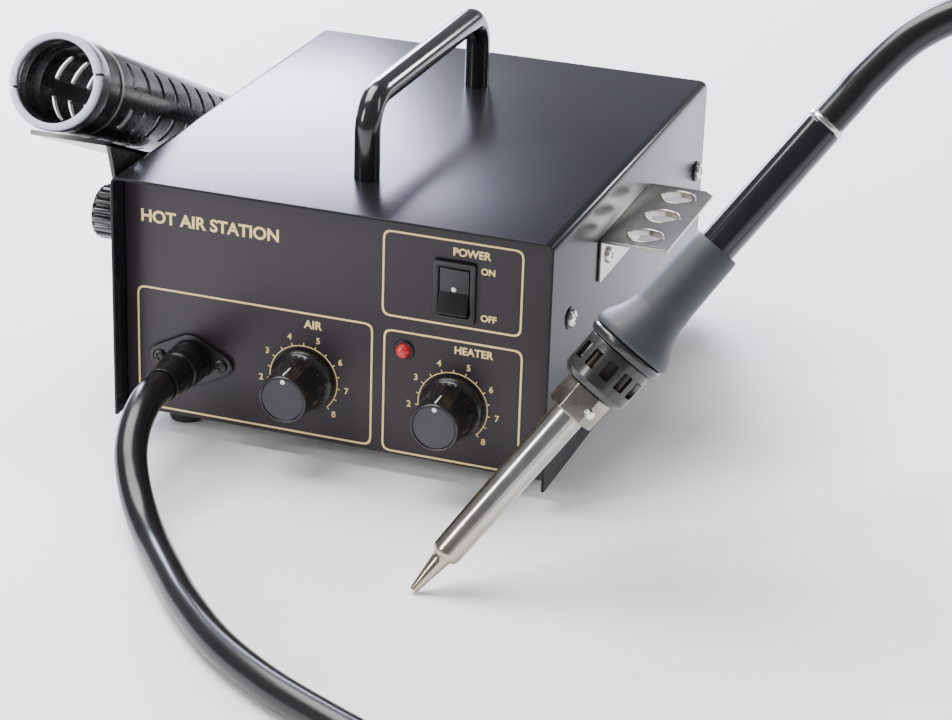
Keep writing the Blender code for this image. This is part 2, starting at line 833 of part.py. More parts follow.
sleeve = turned(
    "holder_sleeve",
    (
        (COLLAR_RADIUS, -COLLAR_END - FIT),
        (SLEEVE_TAIL, -SLEEVE_END),
        (SLEEVE_TAIL - SLEEVE_WALL, -SLEEVE_END),
        (COLLAR_RADIUS - SLEEVE_WALL, -COLLAR_END - FIT),
    ),
    HOLDER_METAL,
    (0, 0, 0),
    UP,
    parent=mouth,
    steps=30,
    hollow=True,
)

SLOT_ROWS = 6
SLOTS_PER_ROW = 10
SLOT_PITCH = 0.0150
SLOT_WIDTH = 0.0050
SLOT_LENGTH = 0.0130


def slot_tools():
    """One cutter of separate bars: each crosses the sleeve's wall, its long side across the axis."""
    mesh = bpy.data.meshes.new("holder_slots")
    shape = bmesh.new()
    for row in range(SLOT_ROWS):
        turn = math.radians(360 / SLOT_ROWS * (row + 0.5))
        for number in range(SLOTS_PER_ROW):
            depth = -COLLAR_END - 0.0130 - number * SLOT_PITCH
            made = bmesh.ops.create_cube(shape, size=1.0)["verts"]
            place = (
                Matrix.Rotation(turn, 4, "Z")
                @ Matrix.Translation((COLLAR_RADIUS - 0.0030, 0, depth))
                @ Matrix.Diagonal((0.0140, SLOT_LENGTH, SLOT_WIDTH, 1.0))
            )
            bmesh.ops.transform(shape, matrix=place, verts=made)
    shape.to_mesh(mesh)
    shape.free()
    tool = bpy.data.objects.new("holder_slots", mesh)
    CUTTERS.objects.link(tool)
    return helper(tool, mouth)


combine(sleeve, slot_tools())

# The bracket: a plate on the clamp bolt, folded outwards into a shelf that the holder lies on.
PLATE_THICK = 0.0020
BOSS_RADIUS = 0.0092
SHELF_WIDTH = 0.0330
SHELF_LENGTH = 0.0880
BOLT_RADIUS = 0.0030
plate_x = -FIT - PLATE_THICK


def along_holder(distance, drop):
    """A place (y, z) about the pivot: distance down the holder from its mouth, drop below its axis."""
    y = mouth_from_pivot[1] + distance * math.cos(HOLDER_TILT) - drop * math.sin(HOLDER_TILT)
    z = mouth_from_pivot[2] - distance * math.sin(HOLDER_TILT) - drop * math.cos(HOLDER_TILT)
    return y, z


shelf_drop = HOLDER_MOUTH_RADIUS + FIT
plate_outline = [
    along_holder(0.0040, shelf_drop),
    along_holder(0.0600, shelf_drop),
    along_holder(0.0560, shelf_drop + PLATE_THICK * 2),
    *arc((0, 0), BOSS_RADIUS, 20, -200, 11),
]
plate_mesh = curve_to_mesh(flat_outline("holder_bracket", plate_outline, PLATE_THICK), "holder_bracket")
# The outline's X and Y become the case's Y and Z, and its thickness lies along X.
ON_SIDE = Matrix(((0, 0, 1, 0), (1, 0, 0, 0), (0, 1, 0, 0), (0, 0, 0, 1)))
plate_mesh.transform(Matrix.Translation((plate_x + PLATE_THICK / 2, 0, 0)) @ ON_SIDE)
bracket = piece("holder_bracket", plate_mesh, HOLDER_METAL, parent=pivot)
shelf_outline = [
    along_holder(0.0, shelf_drop),
    along_holder(SHELF_LENGTH, shelf_drop),
    along_holder(SHELF_LENGTH, shelf_drop + PLATE_THICK),
    along_holder(0.0, shelf_drop + PLATE_THICK),
]
shelf_mesh = curve_to_mesh(flat_outline("holder_shelf", shelf_outline, SHELF_WIDTH), "holder_shelf")
shelf_mesh.transform(Matrix.Translation((plate_x + PLATE_THICK - SHELF_WIDTH / 2, 0, 0)) @ ON_SIDE)
shelf = bpy.data.objects.new("holder_shelf", shelf_mesh)
CUTTERS.objects.link(shelf)
combine(bracket, helper(shelf, pivot), "UNION")
bolt_hole = rod_tool("bolt_hole", BOLT_RADIUS + FIT, (-0.008, 0, 0), (0.006, 0, 0), parent=pivot)
combine(bracket, bolt_hole)
combine(cover, bolt_hole)

CLAMP_RADIUS = 0.0113
CLAMP_DEPTH = 0.0115
CLAMP_FLUTES = 12
clamp_outline = [
    (radius * math.cos(turn), radius * math.sin(turn))
    for turn, radius in (
        (
            2 * math.pi * i / (4 * CLAMP_FLUTES),
            CLAMP_RADIUS - (0.0007 if i % 4 in (0, 1) else 0.0),
        )
        for i in range(4 * CLAMP_FLUTES)
    )
]
clamp_mesh = curve_to_mesh(flat_outline("holder_knob", clamp_outline, CLAMP_DEPTH), "holder_knob")
clamp = piece("holder_knob", clamp_mesh, KNOB_PLASTIC, parent=pivot, toward=LEFT)
clamp.location = (plate_x - FIT - CLAMP_DEPTH / 2, 0, 0)
combine(clamp, rod_tool("clamp_bore", BOLT_RADIUS + FIT, (-0.0100, 0, 0), (0.0, 0, 0), parent=pivot))
bevel(clamp, 0.0005, segments=1, angle=math.radians(60))
turned(
    "holder_bolt",
    ((0.0, 0.0092), (BOLT_RADIUS, 0.0092), (BOLT_RADIUS, -0.0065), (0.0, -0.0065)),
    ZINC,
    (0, 0, 0),
    LEFT,
    parent=pivot,
    steps=16,
)
nut_mesh = curve_to_mesh(flat_outline("holder_nut", arc((0, 0), 0.0062, 0, 300, 6), 0.0042), "holder_nut")
nut = piece("holder_nut", nut_mesh, ZINC, parent=pivot, toward=LEFT)
nut.location = (SHEET + FIT + 0.0021, 0, 0)
combine(nut, rod_tool("nut_bore", BOLT_RADIUS + FIT, (0.0002, 0, 0), (0.0080, 0, 0), parent=pivot))

# ---------------------------------------------------------------- inside the case

FLOOR = TRAY_TOP + FIT
pump_low = (-0.0780, 0.0950, FLOOR)
pump_high = (-0.0120, 0.1900, FLOOR + 0.0480)
pump = block("air_pump", pump_low, pump_high, PUMP_METAL, edge=0.0030)
combine(
    pump,
    rod_tool("pump_chamber", 0.0210, (-0.045, 0.1425, FLOOR + 0.040), (-0.045, 0.1425, FLOOR + 0.060)),
    "UNION",
)
PUMP_OUTLET = (-0.0628, 0.0952, 0.0352)
combine(
    pump,
    rod_tool("pump_outlet", 0.0040, (*PUMP_OUTLET[:1], 0.0850, 0.0352), (PUMP_OUTLET[0], 0.1000, 0.0352)),
    "UNION",
)

CORE = (0.0540, 0.0600, 0.0440)
core_low = Vector((0.0200, 0.1180, FLOOR))
core_high = core_low + Vector(CORE)
core = block("transformer_core", core_low, core_high, ZINC, edge=0.0006)
LEG = 0.0160
WINDOW = 0.0100
core_mid = (core_low.x + core_high.x) / 2
for side, sign in (("left", -1), ("right", 1)):
    inner = core_mid + sign * LEG / 2
    outer = core_mid + sign * (LEG / 2 + WINDOW)
    window = block_tool(
        f"core_window_{side}",
        (min(inner, outer), core_low.y - 0.005, core_low.z + 0.0080),
        (max(inner, outer), core_high.y + 0.005, core_high.z - 0.0080),
    )
    combine(core, window)
COIL_PROUD = 0.0120
coil = block(
    "transformer_coil",
    (core_mid - LEG / 2 - WINDOW + FIT, core_low.y - COIL_PROUD, core_low.z + 0.0080 + FIT),
    (core_mid + LEG / 2 + WINDOW - FIT, core_high.y + COIL_PROUD, core_high.z - 0.0080 - FIT),
    COIL_TAPE,
)
coil_core = block_tool(
    "coil_core",
    (core_mid - LEG / 2 - FIT, core_low.y - FIT, core_low.z - 0.005),
    (core_mid + LEG / 2 + FIT, core_high.y + FIT, core_high.z + 0.005),
)
combine(coil, coil_core)

SPACER = 0.0080
board_low = (0.0050, 0.0500, FLOOR + SPACER + FIT)
board_high = (0.0850, 0.1000, FLOOR + SPACER + FIT + 0.0016)
board = block("circuit_board", board_low, board_high, BOARD_GREEN)
parts_on_board = (
    ("board_relay", (0.0600, 0.0760), (0.0750, 0.0940), 0.0160),
    ("board_capacitor", (0.0120, 0.0560), (0.0240, 0.0680), 0.0180),
    ("board_heat_sink", (0.0300, 0.0800), (0.0520, 0.0960), 0.0260),
)
for name, low, high, tall in parts_on_board:
    tool = block_tool(name, (*low, board_high[2] - 0.0008), (*high, board_high[2] + tall))
    combine(board, tool, "UNION")
for number, (x, y) in enumerate(((0.0100, 0.0950), (0.0800, 0.0550)), 1):
    block(
        f"board_spacer_{number}",
        (x - 0.0030, y - 0.0030, FLOOR),
        (x + 0.0030, y + 0.0030, FLOOR + SPACER),
        NICKEL,
    )

inner_tube = tube_curve(
    "inner_air_tube",
    [(PUMP_OUTLET[0], y, PUMP_OUTLET[2]) for y in (boot_seat + 0.0080 + FIT, 0.0400, 0.0850 - FIT)],
    0.0042,
    2,
)
piece("inner_air_tube", inner_tube, CLEAR_TUBE)

inlet_low = (0.0400, COVER_DEPTH - 0.0240, 0.0620)
inlet_high = (0.0680, COVER_DEPTH - 0.0010 - SHEET - FIT, 0.0840)
FLANGE = 0.0020
inlet = block(
    "mains_inlet",
    (inlet_low[0] - 0.0060, REAR_PANEL_BACK + FIT, inlet_low[2] - 0.0020),
    (inlet_high[0] + 0.0060, REAR_PANEL_BACK + FIT + FLANGE, inlet_high[2] + 0.0020),
    SWITCH_PLASTIC,
)
inlet_body = block_tool("inlet_body", inlet_low, (inlet_high[0], REAR_PANEL_BACK + 0.0010, inlet_high[2]))
combine(inlet, inlet_body, "UNION")
inlet_well = block_tool(
    "inlet_well",
    (inlet_low[0] + 0.0018, COVER_DEPTH - 0.0190, inlet_low[2] + 0.0018),
    (inlet_high[0] - 0.0018, COVER_DEPTH + 0.0050, inlet_high[2] - 0.0018),
)
combine(inlet, inlet_well)
for number, (dx, dz) in enumerate(((-0.0070, -0.0020), (0.0, 0.0025), (0.0070, -0.0020)), 1):
    x = (inlet_low[0] + inlet_high[0]) / 2 + dx
    z = (inlet_low[2] + inlet_high[2]) / 2 + dz
    pin = block_tool(
        f"inlet_pin_{number}",
        (x - 0.0011, COVER_DEPTH - 0.0205, z - 0.0020),
        (x + 0.0011, COVER_DEPTH - 0.0050, z + 0.0020),
    )
    combine(inlet, pin, "UNION")
inlet_cutout = block_tool(
    "inlet_cutout",
    (inlet_low[0] - FIT, REAR_PANEL_BACK - 0.005, inlet_low[2] - FIT),
    (inlet_high[0] + FIT, REAR_PANEL_BACK + 0.005, inlet_high[2] + FIT),
)
combine(rear_panel, inlet_cutout)

FUSE = (0.0540, 0.0420)
turned(
    "fuse_holder",
    (
        (0.0, 0.0070),
        (0.0058, 0.0070),
        (0.0064, 0.0064),
        (0.0066, 0.0),
        (0.0048, 0.0),
        (0.0048, -0.0240),
        (0.0, -0.0240),
    ),
    SWITCH_PLASTIC,
    (FUSE[0], REAR_PANEL_BACK + FIT, FUSE[1]),
    (0, 1, 0),
    steps=20,
)
fuse_hole = rod_tool(
    "fuse_hole",
    0.0048 + FIT,
    (FUSE[0], REAR_PANEL_BACK - 0.005, FUSE[1]),
    (FUSE[0], REAR_PANEL_BACK + 0.004, FUSE[1]),
)
combine(rear_panel, fuse_hole)

# ---------------------------------------------------------------- hot air handset

rear = Vector(HANDSET_REAR)
tip = Vector(HANDSET_TIP)
along = (rear - tip).normalized()
handset = empty("handset_axis", HANDSET_TIP, CASE, along.to_track_quat("Z", "Y"))


def ring(name, points, material, steps=28, hollow=True):
    """A turned piece of the handset: points are (radius, place along the axis), rear end first."""
    return turned(name, points, material, (0, 0, 0), UP, parent=handset, steps=steps, hollow=hollow)


ring(
    "nozzle_tip",
    (
        (0.0044, NOZZLE_END + 0.0040),
        (0.0044, NOZZLE_END),
        (0.0040, NOZZLE_END),
        (0.0034, NOZZLE_END - 0.0012),
        (0.0016, 0.0002),
        (0.0014, 0.0),
        (0.0008, 0.0),
        (0.0012, 0.0080),
        (0.0034, NOZZLE_END),
        (0.0034, NOZZLE_END + 0.0040),
    ),
    STAINLESS,
)
ring(
    "heater_pipe",
    (
        (0.0065, PIPE_END + 0.0080),
        (0.0065, PIPE_END),
        (0.0060, 0.0300),
        (0.0057, NOZZLE_END + 0.0016),
        (0.0052, NOZZLE_END + FIT),
        (0.0044 + FIT, NOZZLE_END + FIT),
        (0.0044 + FIT, NOZZLE_END + 0.0060),
        (0.0052, NOZZLE_END + 0.0100),
        (0.0055, PIPE_END + 0.0080),
    ),
    STAINLESS,
)
ring(
    "heating_element",
    (
        (0.0040, PIPE_END + 0.0080),
        (0.0040, NOZZLE_END + 0.0160),
        (0.0020, NOZZLE_END + 0.0160),
        (0.0020, PIPE_END + 0.0080),
    ),
    CERAMIC,
    steps=16,
)
hex_points = arc((0, 0), 0.0100, 0, 300, 6)
hex_mesh = curve_to_mesh(flat_outline("union_nut", hex_points, NUT_END - PIPE_END), "union_nut")
hex_mesh.transform(Matrix.Translation((0, 0, (NUT_END + PIPE_END) / 2)))
union_nut = piece("union_nut", hex_mesh, STAINLESS, parent=handset)
bevel(union_nut, 0.0006, segments=1)
nut_bore = rod_tool(
    "union_bore", 0.0065 + FIT, (0, 0, PIPE_END - 0.004), (0, 0, NUT_END + 0.004), parent=handset
)
combine(union_nut, nut_bore)
nose = ring(
    "vented_nose",
    (
        (0.0139, NOSE_END),
        (0.0139, NUT_END + 0.0024),
        (0.0118, NUT_END + FIT),
        (0.0065 + FIT, NUT_END + FIT),
        (0.0065 + FIT, NUT_END + 0.0030),
        (0.0118, NUT_END + 0.0050),
        (0.0118, NOSE_END),
    ),
    GLOSS_PLASTIC,
    steps=32,
)
NOSE_SLOTS = 10


def nose_slot_tools():
    """One cutter of separate bars round the nose, each through its wall."""
    mesh = bpy.data.meshes.new("nose_slots")
    shape = bmesh.new()
    for number in range(NOSE_SLOTS):
        made = bmesh.ops.create_cube(shape, size=1.0)["verts"]
        place = (
            Matrix.Rotation(2 * math.pi * number / NOSE_SLOTS, 4, "Z")
            @ Matrix.Translation((0.0139, 0, (NUT_END + NOSE_END) / 2 + 0.0015))
            @ Matrix.Diagonal((0.0060, 0.0050, 0.0070, 1.0))
        )
        bmesh.ops.transform(shape, matrix=place, verts=made)
    shape.to_mesh(mesh)
    shape.free()
    tool = bpy.data.objects.new("nose_slots", mesh)
    CUTTERS.objects.link(tool)
    return helper(tool, handset)


combine(nose, nose_slot_tools())
ring(
    "nose_ring",
    (
        (0.0152, NOSE_RING_END),
        (0.0158, NOSE_RING_END - 0.0010),
        (0.0150, NOSE_END + FIT),
        (0.0075, NOSE_END + FIT),
        (0.0075, NOSE_RING_END),
    ),
    GLOSS_PLASTIC,
)
HANDLE_BORE = 0.0050
HANDLE_START = NOSE_RING_END + FIT
ring(
    "grip",
    (
        (0.0088, GRIP_END),
        (0.0093, GRIP_END - 0.0020),
        (0.0096, GRIP_END - 0.0150),
        (0.0102, 0.1390),
        (0.0122, 0.1330),
        (0.0150, 0.1280),
        (0.0162, 0.1244),
        (0.0158, NOSE_RING_END + FIT),
        (0.0072 + FIT, NOSE_RING_END + FIT),
        (0.0072 + FIT, GRIP_END),
    ),
    GRIP_RUBBER,
    steps=32,
)
ring(
    "handle_tube",
    (
        (0.0066, HANDLE_END),
        (0.0072, HANDLE_END - 0.0010),
        (0.0072, HANDLE_START),
        (HANDLE_BORE, HANDLE_START),
        (HANDLE_BORE, HANDLE_END),
    ),
    GLOSS_PLASTIC,
)
ring(
    "hose_bushing",
    (
        (0.0070, HANDLE_END + 0.0024),
        (0.0076, HANDLE_END + 0.0016),
        (0.0076, HANDLE_END + FIT),
        (HANDLE_BORE, HANDLE_END + FIT),
        (HANDLE_BORE, HANDLE_END + 0.0024),
    ),
    NICKEL,
)

# ---------------------------------------------------------------- air hose


def smooth_route(points, step):
    """Points about every step along a smooth curve, with both ends left straight."""
    dense = []
    for a, b, c, d in zip(points, points[1:], points[2:], points[3:], strict=False):
        for i in range(12):
            t = i / 12
            line = 2 * b + (c - a) * t
            bend = (2 * a - 5 * b + 4 * c - d) * t**2 + (3 * b - a - 3 * c + d) * t**3
            dense.append((line + bend) / 2)
    spaced = [points[0], points[1]]
    travelled = 0.0
    for before, after in zip(dense, dense[1:], strict=False):
        travelled += (after - before).length
        if travelled >= step:
            spaced.append(after)
            travelled = 0.0
    if (spaced[-1] - points[-2]).length < step / 2:
        spaced.pop()
    return [*spaced, points[-2], points[-1]]


hose_start = Vector((gland_x, boot_seat - BOOT_LENGTH - FIT, gland_z))
hose_end = tip + along * (HANDLE_END + 0.0024 + FIT)
route = [hose_start, *(Vector(place) for place in HOSE_ROUTE), hose_end]
piece("air_hose", tube_curve("air_hose", smooth_route(route, HOSE_POINT_STEP), HOSE_RADIUS, 3), HOSE_RUBBER)
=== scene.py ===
import math

import bmesh
import bpy
from mathutils import Matrix, Vector


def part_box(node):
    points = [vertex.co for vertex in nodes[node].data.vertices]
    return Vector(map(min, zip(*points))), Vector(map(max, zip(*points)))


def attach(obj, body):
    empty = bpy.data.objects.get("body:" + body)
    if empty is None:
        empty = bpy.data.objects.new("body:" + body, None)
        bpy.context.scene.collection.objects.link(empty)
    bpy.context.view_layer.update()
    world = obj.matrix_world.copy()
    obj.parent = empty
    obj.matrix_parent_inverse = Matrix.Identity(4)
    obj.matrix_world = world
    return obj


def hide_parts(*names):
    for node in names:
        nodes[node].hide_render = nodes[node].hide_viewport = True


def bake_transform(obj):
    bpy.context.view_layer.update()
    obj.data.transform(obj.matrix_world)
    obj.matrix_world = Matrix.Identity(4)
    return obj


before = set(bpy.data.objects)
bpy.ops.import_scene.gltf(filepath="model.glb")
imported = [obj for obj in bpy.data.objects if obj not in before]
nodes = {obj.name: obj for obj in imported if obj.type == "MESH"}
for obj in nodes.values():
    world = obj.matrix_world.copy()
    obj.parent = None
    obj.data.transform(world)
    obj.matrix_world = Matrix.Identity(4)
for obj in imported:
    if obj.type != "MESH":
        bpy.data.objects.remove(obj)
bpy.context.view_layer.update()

# ---------------------------------------------------------------- camera, floor and light
# The view is from the front right, a little above the bench. The floor is a plain pale sweep,
# and five soft boxes light it: the brightest is behind the station, where the top mirrors it.

CAMERA_PLACE = Vector((0.3582, -1.02717, 0.4996))
CAMERA_RIGHT = Vector((0.94222, 0.33352, 0.03134))
CAMERA_UP = Vector((-0.16030, 0.36673, 0.91642))
CAMERA_BACK = Vector((0.29415, -0.86849, 0.39900))
CAMERA_LENS = 106.5

scene = bpy.context.scene
camera_data = bpy.data.cameras.new("camera")
camera_data.lens = CAMERA_LENS
camera_data.sensor_width = 36.0
camera = bpy.data.objects.new("camera", camera_data)
scene.collection.objects.link(camera)
turned_to = Matrix((CAMERA_RIGHT, CAMERA_UP, CAMERA_BACK)).transposed().to_4x4()
camera.matrix_world = Matrix.Translation(CAMERA_PLACE) @ turned_to
scene.camera = camera


class Wire:
    """A value in a node tree: arithmetic on it makes the Math nodes."""

    def __init__(self, tree, socket):
        self.tree = tree
        self.socket = socket

    def math(self, operation, *others):
        maker = self.tree.nodes.new("ShaderNodeMath")
        maker.operation = operation
        for slot, value in zip(maker.inputs, others):
            feed(self.tree, slot, value)
        return Wire(self.tree, maker.outputs[0])

    def __add__(self, other):
        return self.math("ADD", self, other)

    def __radd__(self, other):
        return self.math("ADD", other, self)

    def __sub__(self, other):
        return self.math("SUBTRACT", self, other)

    def __rsub__(self, other):
        return self.math("SUBTRACT", other, self)

    def __mul__(self, other):
        return self.math("MULTIPLY", self, other)

    def __rmul__(self, other):
        return self.math("MULTIPLY", other, self)

    def __truediv__(self, other):
        return self.math("DIVIDE", self, other)

    def floor(self):
        return self.math("FLOOR", self)

    def cos(self):
        return self.math("COSINE", self)

    def sin(self):
        return self.math("SINE", self)

    def power(self, other):
        return self.math("POWER", self, other)


def feed(tree, slot, value):
    """Links a wire into a socket, or sets a plain value on it."""
    if isinstance(value, Wire):
        tree.links.new(value.socket, slot)
    else:
        slot.default_value = value


def node(tree, kind, settings=None, inputs=None, output=0):
    """Any other node: its settings, then its inputs by name or number."""
    made = tree.nodes.new(kind)
    for key, value in (settings or {}).items():
        setattr(made, key, value)
    for key, value in (inputs or {}).items():
        feed(tree, made.inputs[key], value)
    return Wire(tree, made.outputs[output])


def colour(value):
    return (*value, 1.0)


def mix(tree, share, low, high):
    """The colour that lies by share between two colours."""
    return node(tree, "ShaderNodeMix", {"data_type": "RGBA"}, {0: share, 6: low, 7: high}, 2)


def run_along(tree, start, axis):
    """How far each point of the surface lies from start along an axis."""
    place = node(tree, "ShaderNodeTexCoord", output=3)
    offset = node(tree, "ShaderNodeVectorMath", {"operation": "SUBTRACT"}, {0: place, 1: start})
    return node(tree, "ShaderNodeVectorMath", {"operation": "DOT_PRODUCT"}, {0: offset, 1: axis}, 1)


GRAIN_IN_GLOSS = 0.04
COAT_ROUGHNESS = 0.08


def surface(
    name,
    low,
    high,
    rough,
    scale=40.0,
    stretch=(1.0, 1.0, 1.0),
    metallic=0.0,
    coat=0.0,
    bump=0.05,
    grain=900.0,
    relief=0.0002,
    specular=0.5,
):
    """A finish whose colour and gloss drift over the piece, under a fine grain.

    rough is the least and most roughness, and stretch lays the grain along the way of brushing."""
    material = bpy.data.materials.new(name)
    material.use_nodes = True
    tree = material.node_tree
    shader = tree.nodes["Principled BSDF"]
    place = node(tree, "ShaderNodeTexCoord", output=3)
    along = node(tree, "ShaderNodeMapping", {}, {"Vector": place, "Scale": stretch})
    drift = node(tree, "ShaderNodeTexNoise", {}, {"Vector": along, "Scale": scale, "Detail": 4.0})
    fine = node(tree, "ShaderNodeTexNoise", {}, {"Vector": along, "Scale": grain, "Detail": 2.0})
    feed(tree, shader.inputs["Base Color"], mix(tree, drift, colour(low), colour(high)))
    gloss = rough[0] + drift * (rough[1] - rough[0])
    feed(tree, shader.inputs["Roughness"], gloss + (fine - 0.5) * GRAIN_IN_GLOSS)
    raised = node(tree, "ShaderNodeBump", {}, {"Strength": bump, "Distance": relief, "Height": fine})
    feed(tree, shader.inputs["Normal"], raised)
    shader.inputs["Metallic"].default_value = metallic
    shader.inputs["Coat Weight"].default_value = coat
    shader.inputs["Coat Roughness"].default_value = COAT_ROUGHNESS
    shader.inputs["Specular IOR Level"].default_value = specular
    return material


FLOOR_HALF = 4.0
FLOOR_FINISH = surface("floor_sweep", (0.93, 0.93, 0.94), (0.96, 0.96, 0.97), (0.7, 0.8), 2.0, bump=0.0)
floor_mesh = bpy.data.meshes.new("floor")
floor_shape = bmesh.new()
bmesh.ops.create_grid(floor_shape, x_segments=4, y_segments=4, size=FLOOR_HALF)
floor_shape.to_mesh(floor_mesh)
floor_shape.free()
floor = bpy.data.objects.new("floor", floor_mesh)
floor_mesh.materials.append(FLOOR_FINISH)
scene.collection.objects.link(floor)


def soft_box(name, place, target, size, power, tint=(1.0, 1.0, 1.0)):
    """A rectangular lamp at a place, turned to its target; power is in watts."""
    data = bpy.data.lights.new(name, "AREA")
    data.shape = "RECTANGLE"
    data.size, data.size_y = size
    data.energy = power
    data.color = tint
    lamp = bpy.data.objects.new(name, data)
    lamp.location = place
    lamp.rotation_euler = (Vector(target) - Vector(place)).to_track_quat("-Z", "Y").to_euler()
    scene.collection.objects.link(lamp)


soft_box("back_box", (-1.25, 1.75, 0.92), (-0.05, 0.0, 0.08), (1.1, 1.1), 115, (0.76, 0.77, 1.0))
soft_box("top_box", (-0.7, 0.1, 1.9), (0.0, 0.0, 0.0), (1.5, 1.5), 92)
soft_box("front_box", (-1.2, -1.4, 1.0), (0.0, -0.05, 0.08), (0.4, 0.9), 22)
soft_box("right_box", (1.6, 0.3, 0.9), (0.1, 0.0, 0.1), (0.3, 1.0), 5)
soft_box("edge_box", (0.87, 1.80, 0.70), (0.06, 0.04, 0.11), (0.35, 0.35), 12)
ROOM_TINT = (0.9, 0.92, 1.0)
ROOM_STRENGTH = 0.33
room = bpy.data.worlds.new("room")
room.use_nodes = True
sky = room.node_tree.nodes["Background"]
sky.inputs["Color"].default_value = colour(ROOM_TINT)
sky.inputs["Strength"].default_value = ROOM_STRENGTH
scene.world = room

# ---------------------------------------------------------------- air hose
# A smooth black rubber hose, 13 mm thick. It leaves the boot on the panel, falls to the bench,
# lies round to the right and stands up in an arch to the end of the handset.

HOSE_RADIUS = 0.0065
BEND_SAMPLES = 8
# Pieces that only meet are drawn this far apart.
GAP = 0.0003
AXIS = Vector((0.525385, 0.419443, 0.740296))
# Distances along the handset from the tip of its nozzle.
NOZZLE_END = 0.0170
PIPE_END = 0.0880
NUT_END = 0.1000
NOSE_END = 0.1175
NOSE_RING_END = 0.1215
HANDLE_START = 0.1218
GRIP_END = 0.1706
HANDLE_END = 0.2290
BUSHING_END = 0.2314


def centre(name):
    low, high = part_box(name)
    return (Vector(low) + Vector(high)) / 2


def edges(name):
    low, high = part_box(name)
    return Vector(low), Vector(high)


TIP = centre("handle_tube") - AXIS * (HANDLE_START + HANDLE_END) / 2
boot_low = edges("hose_boot")[0]
boot_middle = centre("hose_boot")
hose_start = Vector((boot_middle.x, boot_low.y - GAP, boot_middle.z))
hose_end = TIP + AXIS * (BUSHING_END + GAP)
# The route's places are given from the middle of the case's front edge.
cover_low, cover_high = edges("cover")
FRONT = Vector(((cover_low.x + cover_high.x) / 2, cover_low.y, 0.0))
ROUTE = (
    (-0.0628, -0.0300, 0.0352),
    (-0.0617, -0.0408, 0.0331),
    (-0.0598, -0.0508, 0.0294),
    (-0.0567, -0.0600, 0.0244),
    (-0.0521, -0.0681, 0.0187),
    (-0.0465, -0.0759, 0.0136),
    (-0.0402, -0.0838, 0.0099),
    (-0.0336, -0.0920, 0.0078),
    (-0.0269, -0.1003, 0.0069),
    (-0.0135, -0.1170, 0.0069),
    (0.0005, -0.1335, 0.0069),
    (0.0235, -0.1562, 0.0069),
    (0.0495, -0.1747, 0.0069),
    (0.0777, -0.1894, 0.0069),
    (0.1070, -0.2022, 0.0069),
    (0.1374, -0.2127, 0.0069),
    (0.1688, -0.2190, 0.0069),
    (0.2008, -0.2192, 0.0069),
    (0.2322, -0.2132, 0.0069),
    (0.2620, -0.2010, 0.0069),
    (0.2890, -0.1831, 0.0069),
    (0.3116, -0.1599, 0.0069),
    (0.3288, -0.1326, 0.0069),
    (0.3403, -0.1026, 0.0084),
    (0.3463, -0.0722, 0.0162),
    (0.3474, -0.0446, 0.0321),
    (0.3445, -0.0216, 0.0543),
    (0.3396, -0.0034, 0.0803),
    (0.3339, 0.0108, 0.1085),
    (0.3265, 0.0223, 0.1373),
    (0.3158, 0.0319, 0.1658),
    (0.3007, 0.0400, 0.1929),
    (0.2758, 0.0431, 0.2119),
    (0.2552, 0.0415, 0.2165),
    (0.2347, 0.0374, 0.2138),
    (0.2169, 0.0313, 0.2039),
    (0.2032, 0.0238, 0.1891),
    (0.1974, 0.0197, 0.1810),
)


def smooth_line(points, samples):
    """A smooth curve through the points, samples to a stretch."""
    ends = [2 * points[0] - points[1], *points, 2 * points[-1] - points[-2]]
    line = []
    for a, b, c, d in zip(ends, ends[1:], ends[2:], ends[3:]):
        for i in range(samples):
            t = i / samples
            straight = 2 * b + (c - a) * t
            bend = (2 * a - 5 * b + 4 * c - d) * t**2 + (3 * b - a - 3 * c + d) * t**3
            line.append((straight + bend) / 2)
    return [*line, points[-1]]


def group(name, sockets):
    """A geometry node group with a geometry in and out, and the other inputs by name."""
    made = bpy.data.node_groups.new(name, "GeometryNodeTree")
    made.interface.new_socket("Geometry", in_out="INPUT", socket_type="NodeSocketGeometry")
    for title, kind in sockets:
        made.interface.new_socket(title, in_out="INPUT", socket_type=kind)
    made.interface.new_socket("Geometry", in_out="OUTPUT", socket_type="NodeSocketGeometry")
    return made


def inputs_of(tree):
    given = tree.nodes.new("NodeGroupInput")
    return {slot.name: Wire(tree, slot) for slot in given.outputs if slot.name}


def deliver(tree, wire):
    """Gives the group's result the material of its Material input."""
    material = inputs_of(tree)["Material"]
    painted = node(tree, "GeometryNodeSetMaterial", {}, {"Geometry": wire, "Material": material})
    tree.links.new(painted.socket, tree.nodes.new("NodeGroupOutput").inputs[0])


def tube_group():
    """Sweeps a round section along the object's own line."""
    tree = group(
        "tube_on_line",
        (
            ("Radius", "NodeSocketFloat"),
            ("Sides", "NodeSocketInt"),
            ("Material", "NodeSocketMaterial"),
        ),
    )
    given = inputs_of(tree)
    line = node(tree, "GeometryNodeMeshToCurve", {}, {0: given["Geometry"]})
    section = {"Resolution": given["Sides"], "Radius": given["Radius"]}
    ring = node(tree, "GeometryNodeCurvePrimitiveCircle", {}, section)
    sweep = {"Curve": line, "Profile Curve": ring, "Fill Caps": True}
    swept = node(tree, "GeometryNodeCurveToMesh", {}, sweep)
    deliver(tree, node(tree, "GeometryNodeSetShadeSmooth", {}, {"Geometry": swept}))
    return tree


def run_group(obj, tree, values):
    """Runs a node group on the object, and keeps the result as its plain mesh."""
    modifier = obj.modifiers.new(tree.name, "NODES")
    modifier.node_group = tree
    for item in tree.interface.items_tree:
        if item.in_out == "INPUT" and item.name in values:
            modifier[item.identifier] = values[item.name]
    keep_result(obj)


